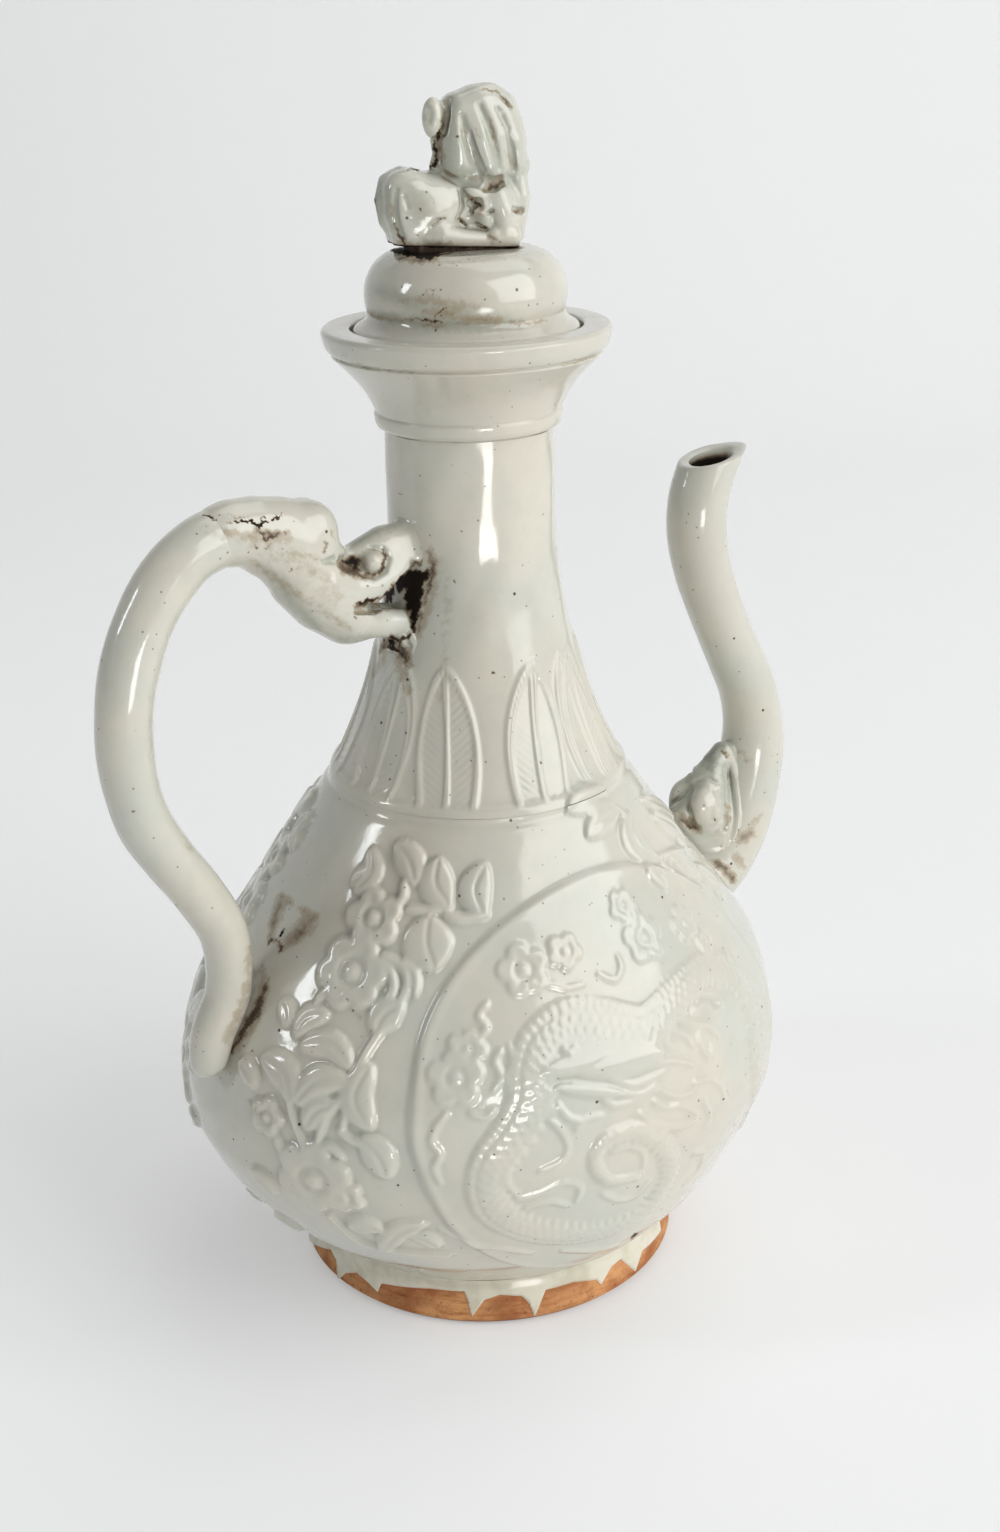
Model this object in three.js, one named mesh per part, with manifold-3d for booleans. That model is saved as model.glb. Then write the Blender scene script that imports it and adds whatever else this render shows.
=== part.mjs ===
// Lidded ewer: an oval pear body with a dragon handle, a curved spout and a guardian lion on the lid.
// Millimetres, +Z up. The origin is the middle of the foot's underside. The spout points along +X,
// the handle along -X, and the side with the moulded panel that shows looks along -Y.

import * as THREE from 'three';
import { mergeVertices } from 'three/addons/utils/BufferGeometryUtils.js';
import Module from 'manifold-3d';

const wasm = await Module();
wasm.setup();

// Clearances
const seatGap = 0.3;
const cutOverrun = 3;
const cutReach = 400;
const weldTolerance = 1e-4;

// Foot
const footRadius = 52;
const footTopRadius = 50.4;
const footHeight = 13;
const footWall = 8;
const footEdge = 1.2;

// Body: round at the foot and at the shoulder, oval between them
const bodyLength = 168;
const bodyDepth = 145;
const bellyHeight = 60;
const shoulderHeight = 140;
const shoulderRadius = 38.8;
const bodyWall = 5;
const lowerBodyShares = [[0, 0], [0.14, 0.24], [0.277, 0.455], [0.553, 0.765], [0.83, 0.965], [1, 1]];
const upperBodyShares = [[0, 1], [0.095, 0.99], [0.29, 0.891], [0.485, 0.661], [0.68, 0.408], [0.875, 0.155], [1, 0]];

// Moulded panel on the front and the back
const panelWidth = 116;
const panelHeight = 108;
const panelCentreHeight = 71;
const panelRelief = 1.2;
const panelCurvePower = 1.8;

// Moulded dragon, blossoms and leaves
const motifRelief = 1.6;
const blossomPetals = 5;
const blossomNotchShare = 0.76;

// Neck
const neckRadius = 20.9;
const neckTopHeight = 229;
const neckWall = 4.5;
const neckFootRidge = 0.6;
const neckFootRidgeHeight = 3;
const neckShares = [[0, 1], [0.063, 0.79], [0.238, 0.44], [0.413, 0.214], [0.618, 0.05], [0.8, 0], [1, 0]];

// Mouth
const mouthCupHeight = 24.7;
const mouthHeight = neckTopHeight + mouthCupHeight;
const mouthRadius = 35.3;
const mouthBoreRadius = 28.5;
const ledgeDepth = 3.6;
const ledgeBoreRadius = 23.4;
const beadHeight = 5;
const beadRadius = 23;
const beadGroove = 0.7;
const rimBandHeight = 6;
const rimBandSlope = 2.2;
const rimBandStep = 1;
const rimEdge = 1;
const mouthFlareShares = [[0.25, 0.2], [0.46, 0.42], [0.68, 0.66], [0.83, 0.8], [0.96, 0.95]];

// Lid
const lidFlangeRadius = 27.4;
const lidFlangeHeight = 2.8;
const lidWaistRadius = 23.6;
const lidWaistHeight = 2.2;
const domeRadius = 24.5;
const domeHeight = 16;
const domeTopRadius = 15.5;
const lidWall = 4;
const collarRadius = 20.4;
const collarPlay = 1.2;
const collarHeight = 8;
const collarWall = 3.5;

// Spout
const spoutMouthHeight = 213;
const spoutRootHeight = 84;
const spoutStandOff = 20.6;
const spoutDiameter = 16;
const spoutWall = 2.8;

// Mask at the spout's root
const maskLength = 40;
const maskWidth = 25;
const maskSwell = 4;

// Handle
const handleDiameter = 13.8;
const handleStandOff = 15.2;
const handleTopHeight = 213.4;
const handleRootHeight = 79;

// Dragon head that joins the handle to the neck
const headHeight = 195;
const headLength = 36.6;
const headThickness = 15.5;
const headRounding = 3.6;
const eyeRadius = 4.2;

// Finial
const finialTurn = -20;
const finialSetBack = 2.4;
const plinthLength = 27;
const plinthWidth = 16;
const plinthHeight = 3;
const plinthCorner = 3;
const lionLength = 34;
const lionWidth = 16;
const lionHeight = 34;
const lionNeckShare = 0.47;

// Faceting
const roundSides = 36;
const bodySides = 40;
const bodyInnerSides = 32;
const bodySteps = 10;
const bodyInnerSteps = 7;
const neckSteps = 8;
const neckInnerSteps = 5;
const tubeSides = 12;
const spoutSteps = 22;
const handleSteps = 20;
const ballSides = 10;
const ballRows = 6;

// A value between the rows of a table of shares, along a smooth curve
function blend(shares, at) {
  const curve = new THREE.SplineCurve(shares.map(([t, value]) => new THREE.Vector2(t, value)));
  let low = 0;
  let high = 1;
  while (high - low > weldTolerance) {
    const middle = (low + high) / 2;
    if (curve.getPoint(middle).x < at) low = middle;
    else high = middle;
  }
  return curve.getPoint(high).y;
}

// Closed skin over a row of rings. A joined skin runs from its last ring back to its first, round a bore.
function skin(rings, joined = false) {
  const sides = rings[0].length;
  const points = rings.flat();
  const faces = [];
  const spans = joined ? rings.length : rings.length - 1;
  for (let i = 0; i < spans; i++) {
    const here = i * sides;
    const next = ((i + 1) % rings.length) * sides;
    for (let j = 0; j < sides; j++) {
      const k = (j + 1) % sides;
      faces.push(here + j, here + k, next + k, here + j, next + k, next + j);
    }
  }
  if (!joined) {
    const last = (rings.length - 1) * sides;
    const firstMiddle = points.length;
    points.push(middleOf(rings[0]), middleOf(rings[rings.length - 1]));
    for (let j = 0; j < sides; j++) {
      const k = (j + 1) % sides;
      faces.push(firstMiddle, k, j, firstMiddle + 1, last + j, last + k);
    }
  }
  const geometry = new THREE.BufferGeometry();
  geometry.setAttribute('position', new THREE.Float32BufferAttribute(points.flatMap((p) => p.toArray()), 3));
  geometry.setIndex(volumeOf(points, faces) < 0 ? faces.reverse() : faces);
  return geometry;
}

function middleOf(ring) {
  const middle = new THREE.Vector3();
  for (const point of ring) middle.add(point);
  return middle.divideScalar(ring.length);
}

function volumeOf(points, faces) {
  let volume = 0;
  for (let i = 0; i < faces.length; i += 3) {
    const normal = new THREE.Vector3().crossVectors(points[faces[i + 1]], points[faces[i + 2]]);
    volume += points[faces[i]].dot(normal) / 6;
  }
  return volume;
}

// Level oval ring
function levelRing(halfLength, halfDepth, z, sides = bodySides) {
  const ring = [];
  for (let i = 0; i < sides; i++) {
    const angle = (2 * Math.PI * i) / sides;
    ring.push(new THREE.Vector3(halfLength * Math.cos(angle), halfDepth * Math.sin(angle), z));
  }
  return ring;
}

// Ring square to a path that lies in the XZ plane
function pathRing(point, tangent, radius, radiusAcross, sides = tubeSides) {
  const ring = [];
  const along = tangent.clone().normalize();
  for (let i = 0; i < sides; i++) {
    const angle = (2 * Math.PI * i) / sides;
    const out = radius * Math.cos(angle);
    ring.push(new THREE.Vector3(point.x - along.y * out, radiusAcross * Math.sin(angle), point.y + along.x * out));
  }
  return ring;
}

// Rings along a path of [x, z, radius] rows, each row's radius made larger by grow and each ring moved
// by shift towards the inner side of a bend like the spout's
function pathRings(rows, steps, grow = 0, shift = 0) {
  const curve = new THREE.CatmullRomCurve3(rows.map(([x, z, radius]) => new THREE.Vector3(x, z, radius)));
  const rings = [];
  for (let i = 0; i <= steps; i++) {
    const point = curve.getPoint(i / steps);
    const along = curve.getTangent(i / steps).setZ(0).normalize();
    const middle = new THREE.Vector2(point.x - along.y * shift, point.y + along.x * shift);
    rings.push(pathRing(middle, along, point.z + grow, point.z + grow));
  }
  return rings;
}

// Solids that can be cut and joined
function solid(geometry) {
  const bare = geometry.clone();
  bare.deleteAttribute('normal');
  bare.deleteAttribute('uv');
  const welded = mergeVertices(bare, weldTolerance);
  const corners = welded.index.array;
  const faces = [];
  for (let i = 0; i < corners.length; i += 3) {
    const [a, b, c] = corners.slice(i, i + 3);
    if (a !== b && b !== c && c !== a) faces.push(a, b, c);
  }
  const vertProperties = Float32Array.from(welded.attributes.position.array);
  return new wasm.Manifold(new wasm.Mesh({ numProp: 3, vertProperties, triVerts: Uint32Array.from(faces) }));
}

function geometryOf(body) {
  const { vertProperties, triVerts } = body.getMesh();
  const geometry = new THREE.BufferGeometry();
  geometry.setAttribute('position', new THREE.BufferAttribute(vertProperties, 3));
  geometry.setIndex(new THREE.BufferAttribute(triVerts, 1));
  geometry.computeVertexNormals();
  return geometry;
}

function joined(solids) {
  return solids.reduce((whole, next) => whole.add(next));
}

// Turned solid from [radius, z] rows
function turned(rows, sides = roundSides) {
  const points = rows.map(([radius, z]) => new THREE.Vector2(radius, z));
  return solid(new THREE.LatheGeometry([...points, points[0]], sides).rotateX(Math.PI / 2));
}

// Everything on one side of a plane square to an axis
function blockBetween(low, high) {
  const size = new THREE.Vector3().subVectors(high, low);
  const middle = new THREE.Vector3().addVectors(low, high).divideScalar(2);
  return solid(new THREE.BoxGeometry(size.x, size.y, size.z).translate(middle.x, middle.y, middle.z));
}

const above = (z) => blockBetween(
  new THREE.Vector3(-cutReach, -cutReach, z), new THREE.Vector3(cutReach, cutReach, z + cutReach));
const below = (z) => blockBetween(
  new THREE.Vector3(-cutReach, -cutReach, z - cutReach), new THREE.Vector3(cutReach, cutReach, z));

function ball(x, y, z, rx, ry, rz, turn = 0) {
  const geometry = new THREE.SphereGeometry(1, ballSides, ballRows).scale(rx, ry, rz).rotateY(turn).translate(x, y, z);
  return solid(geometry);
}

// Materials
const glaze = new THREE.MeshStandardMaterial({ color: 0xcfd0c6, roughness: 0.18, metalness: 0 });
const biscuit = new THREE.MeshStandardMaterial({ color: 0xc07a45, roughness: 0.85, metalness: 0 });

function piece(name, geometry, material = glaze) {
  const mesh = new THREE.Mesh(geometry, material.clone());
  mesh.name = name;
  return mesh;
}

// Foot
function makeFoot() {
  const inner = footRadius - footWall;
  return turned([
    [inner, 0], [footRadius - footEdge, 0], [footRadius, footEdge],
    [footTopRadius, footHeight], [inner, footHeight]]);
}

// Body surface
function bodyShare(z) {
  if (z < bellyHeight) return [footTopRadius, blend(lowerBodyShares, (z - footHeight) / (bellyHeight - footHeight))];
  return [shoulderRadius, blend(upperBodyShares, (z - bellyHeight) / (shoulderHeight - bellyHeight))];
}

function bodyHalves(z) {
  const [end, share] = bodyShare(z);
  return [end + share * (bodyLength / 2 - end), end + share * (bodyDepth / 2 - end)];
}

const bodySide = (z) => bodyHalves(z)[0];

function bodyRings(grow, low, high, steps, sides) {
  const rings = [];
  for (let i = 0; i <= steps; i++) {
    const z = low + ((high - low) * i) / steps;
    const [halfLength, halfDepth] = bodyHalves(z);
    rings.push(levelRing(halfLength + grow, halfDepth + grow, z, sides));
  }
  return rings;
}

const bodyOuter = (grow) => solid(skin(bodyRings(grow, footHeight, shoulderHeight, bodySteps, bodySides)));

// Moulded panel: the part of a slightly larger body that lies inside a peach-like outline
function panelPrism() {
  const outline = new THREE.Shape();
  const steps = 40;
  for (let i = 0; i < steps; i++) {
    const angle = (2 * Math.PI * i) / steps;
    const [c, s] = [Math.cos(angle), Math.sin(angle)];
    const x = (panelWidth / 2) * Math.sign(c) * Math.abs(c) ** (2 / panelCurvePower);
    const z = (panelHeight / 2) * Math.sign(s) * Math.abs(s) ** (2 / panelCurvePower) + panelCentreHeight;
    if (i === 0) outline.moveTo(x, z);
    else outline.lineTo(x, z);
  }
  const geometry = new THREE.ExtrudeGeometry(outline, { depth: bodyDepth * 2, bevelEnabled: false });
  return solid(geometry.rotateX(Math.PI / 2).translate(0, bodyDepth, 0));
}

// Moulded ornament: outlines that are pushed out from the axis and cut to a body slightly larger still.
// The back carries the same ornament, turned by half a round.
// The dragon's body as [panel width share, panel height share, width share], from its right end over the
// top of the panel, down its left side, along the foot and inwards to the tail
const dragonShares = [
  [0.373, -0.046, 0.056], [0.38, 0.063, 0.06], [0.321, 0.169, 0.06], [0.223, 0.218, 0.065], [0.011, 0.171, 0.095],
  [-0.226, 0.196, 0.091], [-0.371, -0.042, 0.078], [-0.342, -0.205, 0.069], [-0.246, -0.28, 0.065],
  [-0.115, -0.335, 0.06], [0.003, -0.332, 0.056], [0.057, -0.256, 0.052], [0.05, -0.168, 0.047],
  [-0.066, -0.043, 0.04], [-0.156, -0.092, 0.033], [-0.046, -0.171, 0.021]];
// The dragon's head below the top of its ring, as [panel width share, panel height share]
const dragonFaceShares = [
  [0.051, 0.128], [-0.136, 0.19], [-0.235, 0.148], [-0.225, 0.086], [-0.123, 0.055], [0.024, 0.078]];
// Blossoms as [turn round the body in degrees, shoulder height share, radius as a panel height share]
const blossomShares = [
  [-115.4, 0.769, 0.061], [-80.4, 0.766, 0.063], [-130.9, 0.617, 0.065], [-156, 0.761, 0.088], [-156.4, 0.421, 0.097]];
// Leaves as [turn in degrees, shoulder height share, length as a panel height share, tilt in degrees,
// half width as a length share]
const leafShares = [
  [-148.6, 0.929, 0.111, -47, 0.33], [-137.4, 0.816, 0.122, -76, 0.49], [-146.4, 0.581, 0.147, -83, 0.29],
  [-141.9, 0.294, 0.193, 44, 0.17], [-44.6, 0.869, 0.158, -59, 0.27]];
const leafOutlineShares = [[-0.5, 0], [-0.15, 1], [0.25, 0.9], [0.5, 0], [0.25, -0.9], [-0.15, -1]];

// Outline of [x, z] points, pushed out along -Y from the axis and turned round it
function pushedOut(points, turn = 0) {
  const outline = new THREE.Shape(points.map(([x, z]) => new THREE.Vector2(x, z)));
  const geometry = new THREE.ExtrudeGeometry(outline, { depth: bodyLength, bevelEnabled: false });
  return solid(geometry.rotateX(Math.PI / 2).rotateZ(turn));
}

const onPanel = ([x, z]) => new THREE.Vector2(x * panelWidth, panelCentreHeight + z * panelHeight);

function dragonOutline() {
  const middles = dragonShares.map(onPanel);
  const [left, right] = [[], []];
  middles.forEach((middle, i) => {
    const before = middles[Math.max(i - 1, 0)];
    const after = middles[Math.min(i + 1, middles.length - 1)];
    const along = after.clone().sub(before).normalize();
    const half = (dragonShares[i][2] * panelWidth) / 2;
    left.push([middle.x - along.y * half, middle.y + along.x * half]);
    right.push([middle.x + along.y * half, middle.y - along.x * half]);
  });
  return [...left, ...right.reverse()];
}

function blossomOutline(height, radius) {
  const points = [];
  const corners = blossomPetals * 2;
  for (let i = 0; i < corners; i++) {
    const angle = (2 * Math.PI * i) / corners;
    const reach = radius * (i % 2 === 0 ? 1 : blossomNotchShare);
    points.push([reach * Math.sin(angle), height + reach * Math.cos(angle)]);
  }
  return points;
}

function leafOutline(height, length, tilt, halfWidth) {
  const [c, s] = [Math.cos(tilt), Math.sin(tilt)];
  return leafOutlineShares.map(([along, off]) => {
    const [x, z] = [along * length, off * halfWidth];
    return [x * c - z * s, height + x * s + z * c];
  });
}

function makeMotifs() {
  const motifs = [pushedOut(dragonOutline()), pushedOut(dragonFaceShares.map(onPanel).map((p) => p.toArray()))];
  const turnTo = (degrees) => THREE.MathUtils.degToRad(degrees) + Math.PI / 2;
  for (const [turn, up, radius] of blossomShares) {
    motifs.push(pushedOut(blossomOutline(up * shoulderHeight, radius * panelHeight), turnTo(turn)));
  }
  for (const [turn, up, share, tilt, widthShare] of leafShares) {
    const length = share * panelHeight;
    const outline = leafOutline(up * shoulderHeight, length, THREE.MathUtils.degToRad(tilt), widthShare * length);
    motifs.push(pushedOut(outline, turnTo(turn)));
  }
  const raised = bodyOuter(panelRelief + motifRelief).intersect(panelPrism()).add(bodyOuter(motifRelief));
  const front = joined(motifs.map((motif) => motif.intersect(raised)));
  return front.add(front.rotate([0, 0, 180]));
}

// Spout: rows of [stand-off share, height share, diameter share] from the root up to the mouth
const spoutShares = [
  [-0.75, -0.04, 1.3], [-0.05, 0, 1.34], [0.4, 0.035, 1.34], [0.73, 0.124, 1.3], [0.95, 0.248, 1.2], [1, 0.31, 1.14],
  [0.854, 0.434, 1.05], [0.519, 0.545, 0.97], [0.194, 0.647, 0.98], [-0.044, 0.735, 1], [-0.136, 0.8, 1.03],
  [-0.12, 0.86, 1.05], [0.024, 0.94, 1], [0.3, 1.02, 1], [0.55, 1.07, 1]];

function spoutRows() {
  const rise = spoutMouthHeight - spoutRootHeight;
  return spoutShares.map(([out, up, width]) => [
    bodySide(spoutRootHeight) + out * spoutStandOff, spoutRootHeight + up * rise, (width * spoutDiameter) / 2]);
}

// Handle: rows of [reach share, height share] from the top of the loop down to the belly.
// The tube starts at the back of the dragon head, at a share of the head's length above its middle.
const handleShares = [
  [0.717, 1], [0.85, 0.946], [0.946, 0.84], [0.995, 0.705], [0.995, 0.584], [0.934, 0.466],
  [0.843, 0.355], [0.796, 0.275]];
const handleRootShares = [[0.18, 0.88], [0.082, 0.41], [0, 0.28]];
const handleStartShare = 0.453;

function handleRows() {
  const reach = bodyLength / 2 + handleStandOff;
  const rise = handleTopHeight - handleRootHeight;
  const radius = handleDiameter / 2;
  const rows = [[-(neckSide(headHeight) + headLength), headHeight + handleStartShare * headLength, radius * 1.07]];
  for (const [out, up] of handleShares) rows.push([-out * reach, handleRootHeight + up * rise, radius]);
  for (const [up, off] of handleRootShares) {
    const z = handleRootHeight + up * rise;
    rows.push([-(bodySide(z) + off * handleDiameter), z, radius * 0.86]);
  }
  return rows;
}

// Neck
function neckSide(z) {
  const share = blend(neckShares, (z - shoulderHeight) / (neckTopHeight - shoulderHeight));
  return neckRadius + share * (shoulderRadius - neckRadius);
}

function neckRows(grow, steps) {
  const rows = [];
  for (let i = 0; i <= steps; i++) {
    const z = shoulderHeight + ((neckTopHeight - shoulderHeight) * i) / steps;
    rows.push([neckSide(z) + grow, z]);
  }
  return rows;
}

function makeNeck() {
  const outside = neckRows(0, neckSteps);
  const inside = neckRows(-neckWall, neckInnerSteps).reverse();
  const ridge = [
    [shoulderRadius, shoulderHeight],
    [shoulderRadius + neckFootRidge, shoulderHeight + neckFootRidgeHeight / 3],
    [neckSide(shoulderHeight + neckFootRidgeHeight) + neckFootRidge / 3, shoulderHeight + neckFootRidgeHeight]];
  return turned([...ridge, ...outside.slice(1), ...inside]);
}

// Mouth
function makeMouth() {
  const flareLow = neckTopHeight + beadHeight;
  const bandLow = mouthHeight - rimBandHeight;
  const bandLowRadius = mouthRadius - rimBandSlope;
  const flareTopRadius = bandLowRadius - rimBandStep;
  const grooveRadius = beadRadius - beadGroove;
  const ledge = mouthHeight - ledgeDepth;
  const rows = [
    [neckRadius - neckWall, neckTopHeight], [neckRadius, neckTopHeight],
    [beadRadius, neckTopHeight + beadHeight / 4], [beadRadius, neckTopHeight + (beadHeight * 3) / 4],
    [grooveRadius, flareLow]];
  for (const [out, up] of mouthFlareShares) {
    rows.push([grooveRadius + out * (flareTopRadius - grooveRadius), flareLow + up * (bandLow - flareLow)]);
  }
  rows.push(
    [bandLowRadius, bandLow], [mouthRadius, mouthHeight - rimEdge], [mouthRadius - rimEdge, mouthHeight],
    [mouthBoreRadius, mouthHeight], [mouthBoreRadius, ledge], [ledgeBoreRadius, ledge],
    [collarRadius + collarPlay, ledge - collarHeight - collarPlay]);
  return turned(rows);
}

// Lid, in its own frame: z is zero at the flange's underside
function makeDome() {
  const waistTop = lidFlangeHeight + lidWaistHeight;
  const rows = [[collarRadius - collarWall, 0], [lidFlangeRadius, 0], [lidFlangeRadius, lidFlangeHeight],
    [lidWaistRadius, lidFlangeHeight], [lidWaistRadius, waistTop]];
  const topZ = waistTop + domeHeight;
  const sideSteps = 5;
  for (let i = 0; i <= sideSteps; i++) {
    const turn = -Math.PI / 6 + ((Math.PI * 2) / 3) * (i / sideSteps);
    const radius = domeTopRadius + (domeRadius - domeTopRadius) * Math.max(Math.cos(turn), 0);
    rows.push([radius, waistTop + (domeHeight * (Math.sin(turn) + Math.sin(Math.PI / 6))) / (1 + Math.sin(Math.PI / 6))]);
  }
  rows.push([0, topZ], [0, topZ - lidWall], [domeTopRadius - lidWall / 2, topZ - lidWall],
    [collarRadius - collarWall, topZ - lidWall * 2]);
  return turned(rows);
}

function makeCollar() {
  return turned([
    [collarRadius - collarWall, -collarHeight], [collarRadius - rimEdge, -collarHeight],
    [collarRadius, -collarHeight + rimEdge], [collarRadius, 0], [collarRadius - collarWall, 0]]);
}

// Dragon head: its side outline as [length share, height from its middle as a share of the length]
const headOutlineShares = [
  [1, 0.68], [0.79, 0.63], [0.61, 0.52], [0.5, 0.37], [0.52, 0.2], [0.4, 0.235], [0.32, 0.27], [0.24, 0.33],
  [0.11, 0.38], [-0.12, 0.42], [-0.12, 0.01], [0.14, -0.09], [0.4, -0.13], [0.43, -0.19], [0.34, -0.25],
  [-0.12, -0.235], [-0.12, -0.45], [0.22, -0.41], [0.5, -0.39], [0.62, -0.34], [0.77, -0.21], [0.87, -0.02],
  [0.96, 0.16], [1, 0.25]];

function makeHead(handleEnd) {
  const outline = new THREE.Shape();
  headOutlineShares.forEach(([out, up], i) => {
    if (i === 0) outline.moveTo(out * headLength, up * headLength);
    else outline.lineTo(out * headLength, up * headLength);
  });
  const geometry = new THREE.ExtrudeGeometry(outline, {
    depth: headThickness - 2 * headRounding, bevelEnabled: true, bevelSize: headRounding / 2,
    bevelOffset: -headRounding / 2, bevelThickness: headRounding, bevelSegments: 2 });
  geometry.translate(0, 0, -(headThickness - 2 * headRounding) / 2).rotateX(Math.PI / 2).rotateZ(Math.PI);
  const side = neckSide(headHeight);
  geometry.translate(-side, 0, headHeight);
  const parts = [solid(geometry)];
  for (const y of [-1, 1]) {
    parts.push(ball(-side - headLength * 0.36, (y * headThickness) / 2 - y * eyeRadius / 2, headHeight + headLength * 0.14,
      eyeRadius * 1.2, eyeRadius, eyeRadius));
  }
  return joined(parts).subtract(neckCore(seatGap)).subtract(handleEnd);
}

const neckCore = (grow) => turned([[0, shoulderHeight], ...neckRows(grow, neckSteps), [0, neckTopHeight]]);

// Assembly of the fixed body
const spoutOuter = solid(skin(pathRings(spoutRows(), spoutSteps)));
const spoutBore = solid(skin(pathRings(spoutRows(), spoutSteps, -spoutWall)));
const spoutClear = solid(skin(pathRings(spoutRows(), spoutSteps, seatGap)));
const panels = bodyOuter(panelRelief).intersect(panelPrism());
const throatRadius = shoulderRadius - bodyWall;
const hollow = solid(skin([
  ...bodyRings(-bodyWall, footHeight + bodyWall, shoulderHeight, bodyInnerSteps, bodyInnerSides),
  levelRing(throatRadius, throatRadius, shoulderHeight + cutOverrun, bodyInnerSides)]));
const shell = bodyOuter(0).add(panels).add(makeMotifs()).subtract(hollow).subtract(spoutBore);
const frontHalf = blockBetween(
  new THREE.Vector3(-cutReach, -cutReach, -cutReach), new THREE.Vector3(cutReach, 0, cutReach));
const backHalf = blockBetween(
  new THREE.Vector3(-cutReach, 0, -cutReach), new THREE.Vector3(cutReach, cutReach, cutReach));

const bodyClear = bodyOuter(seatGap);
const spoutTube = spoutOuter.subtract(spoutBore).subtract(bodyClear).subtract(above(spoutMouthHeight));

// Mask: a swelling round the spout's root with a cheek on each side and a brow on top
function makeMask() {
  const rows = spoutRows().slice(0, 6);
  const radius = maskWidth / 2;
  const wrap = rows.map(([x, z], i) => [x, z, radius - (i === rows.length - 1 ? maskSwell / 2 : 0)]);
  const parts = [solid(skin(pathRings(wrap, 9, 0, maskSwell * 0.75)))];
  const [rootX, rootZ] = [rows[3][0], rows[3][1]];
  for (const y of [-1, 1]) {
    parts.push(ball(rootX - maskSwell, y * (radius - maskSwell), rootZ + maskSwell / 2,
      maskLength / 4, maskSwell * 1.6, maskLength / 2.8, Math.PI / 10));
  }
  parts.push(ball(rootX - maskSwell * 2, 0, rootZ + maskLength / 3.4, maskSwell * 2.2, radius * 0.8, maskSwell * 1.6));
  return joined(parts).subtract(spoutClear).subtract(bodyOuter(seatGap));
}

const handleTube = solid(skin(pathRings(handleRows(), handleSteps))).subtract(bodyClear);
const handleClear = solid(skin(pathRings(handleRows(), handleSteps, seatGap)));
const [jointX] = handleRows()[0];
const headClear = blockBetween(
  new THREE.Vector3(-cutReach, -cutReach, headHeight), new THREE.Vector3(jointX + seatGap, cutReach, cutReach));

// Finial, in its own frame: z is zero at the plinth's underside and +X is the way the lion faces
function makePlinth() {
  const [x, y] = [plinthLength / 2, plinthWidth / 2];
  const outline = new THREE.Shape();
  outline.moveTo(x, -y + plinthCorner).lineTo(x, y - plinthCorner);
  outline.absarc(x - plinthCorner, y - plinthCorner, plinthCorner, 0, Math.PI / 2);
  outline.absarc(-x + plinthCorner, y - plinthCorner, plinthCorner, Math.PI / 2, Math.PI);
  outline.absarc(-x + plinthCorner, -y + plinthCorner, plinthCorner, Math.PI, Math.PI * 1.5);
  outline.absarc(x - plinthCorner, -y + plinthCorner, plinthCorner, Math.PI * 1.5, Math.PI * 2);
  return solid(new THREE.ExtrudeGeometry(outline, { depth: plinthHeight, bevelEnabled: false, curveSegments: 3 }));
}

// Rows of [x, y, z, x radius, y radius, z radius] as shares of the lion's length, width and height
const lionBodyShares = [
  [-0.27, 0, 0.25, 0.27, 0.44, 0.23], [-0.22, -0.26, 0.19, 0.22, 0.26, 0.19], [-0.22, 0.26, 0.19, 0.22, 0.26, 0.19],
  [0.02, 0, 0.26, 0.28, 0.4, 0.22], [0.22, 0, 0.34, 0.24, 0.46, 0.28],
  [0.33, -0.26, 0.2, 0.12, 0.2, 0.22], [0.33, 0.26, 0.2, 0.12, 0.2, 0.22],
  [0.38, -0.26, 0.05, 0.12, 0.2, 0.08], [0.38, 0.26, 0.05, 0.12, 0.2, 0.08],
  [-0.04, -0.36, 0.05, 0.16, 0.15, 0.07], [-0.04, 0.36, 0.05, 0.16, 0.15, 0.07],
  [-0.46, 0, 0.26, 0.07, 0.18, 0.2]];
// The head is turned to the lion's left: the muzzle and brow are on +Y and the mane shows on -Y
const lionHeadShares = [
  [0.14, 0, 0.68, 0.32, 0.54, 0.32], [0.22, 0.5, 0.58, 0.17, 0.28, 0.13], [0.2, 0.4, 0.74, 0.22, 0.26, 0.11],
  [-0.16, -0.08, 0.79, 0.09, 0.2, 0.16], [0.4, 0, 0.88, 0.09, 0.2, 0.12], [0.34, 0, 0.6, 0.16, 0.34, 0.16]];

function lionPart(shares) {
  return joined(shares.map(([x, y, z, rx, ry, rz]) => ball(
    x * lionLength, y * lionWidth, z * lionHeight, rx * lionLength, ry * lionWidth, rz * lionHeight)));
}

const neckCut = lionNeckShare * lionHeight;
const lionBody = lionPart(lionBodyShares).intersect(above(0)).intersect(below(neckCut));
const lionHead = lionPart(lionHeadShares).intersect(above(neckCut));

// The whole object
const ewer = new THREE.Group();
ewer.add(
  piece('foot_ring', geometryOf(makeFoot()), biscuit),
  piece('body_front', geometryOf(shell.intersect(frontHalf))),
  piece('body_back', geometryOf(shell.intersect(backHalf))),
  piece('neck', geometryOf(makeNeck())),
  piece('mouth_cup', geometryOf(makeMouth())),
  piece('spout_tube', geometryOf(spoutTube)),
  piece('spout_mask', geometryOf(makeMask())),
  piece('handle_loop', geometryOf(handleTube)),
  piece('dragon_head', geometryOf(makeHead(headClear.add(handleClear)))));

const lid = new THREE.Group();
lid.position.z = mouthHeight - ledgeDepth + seatGap;
lid.add(piece('lid_dome', geometryOf(makeDome())), piece('lid_collar', geometryOf(makeCollar())));

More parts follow.
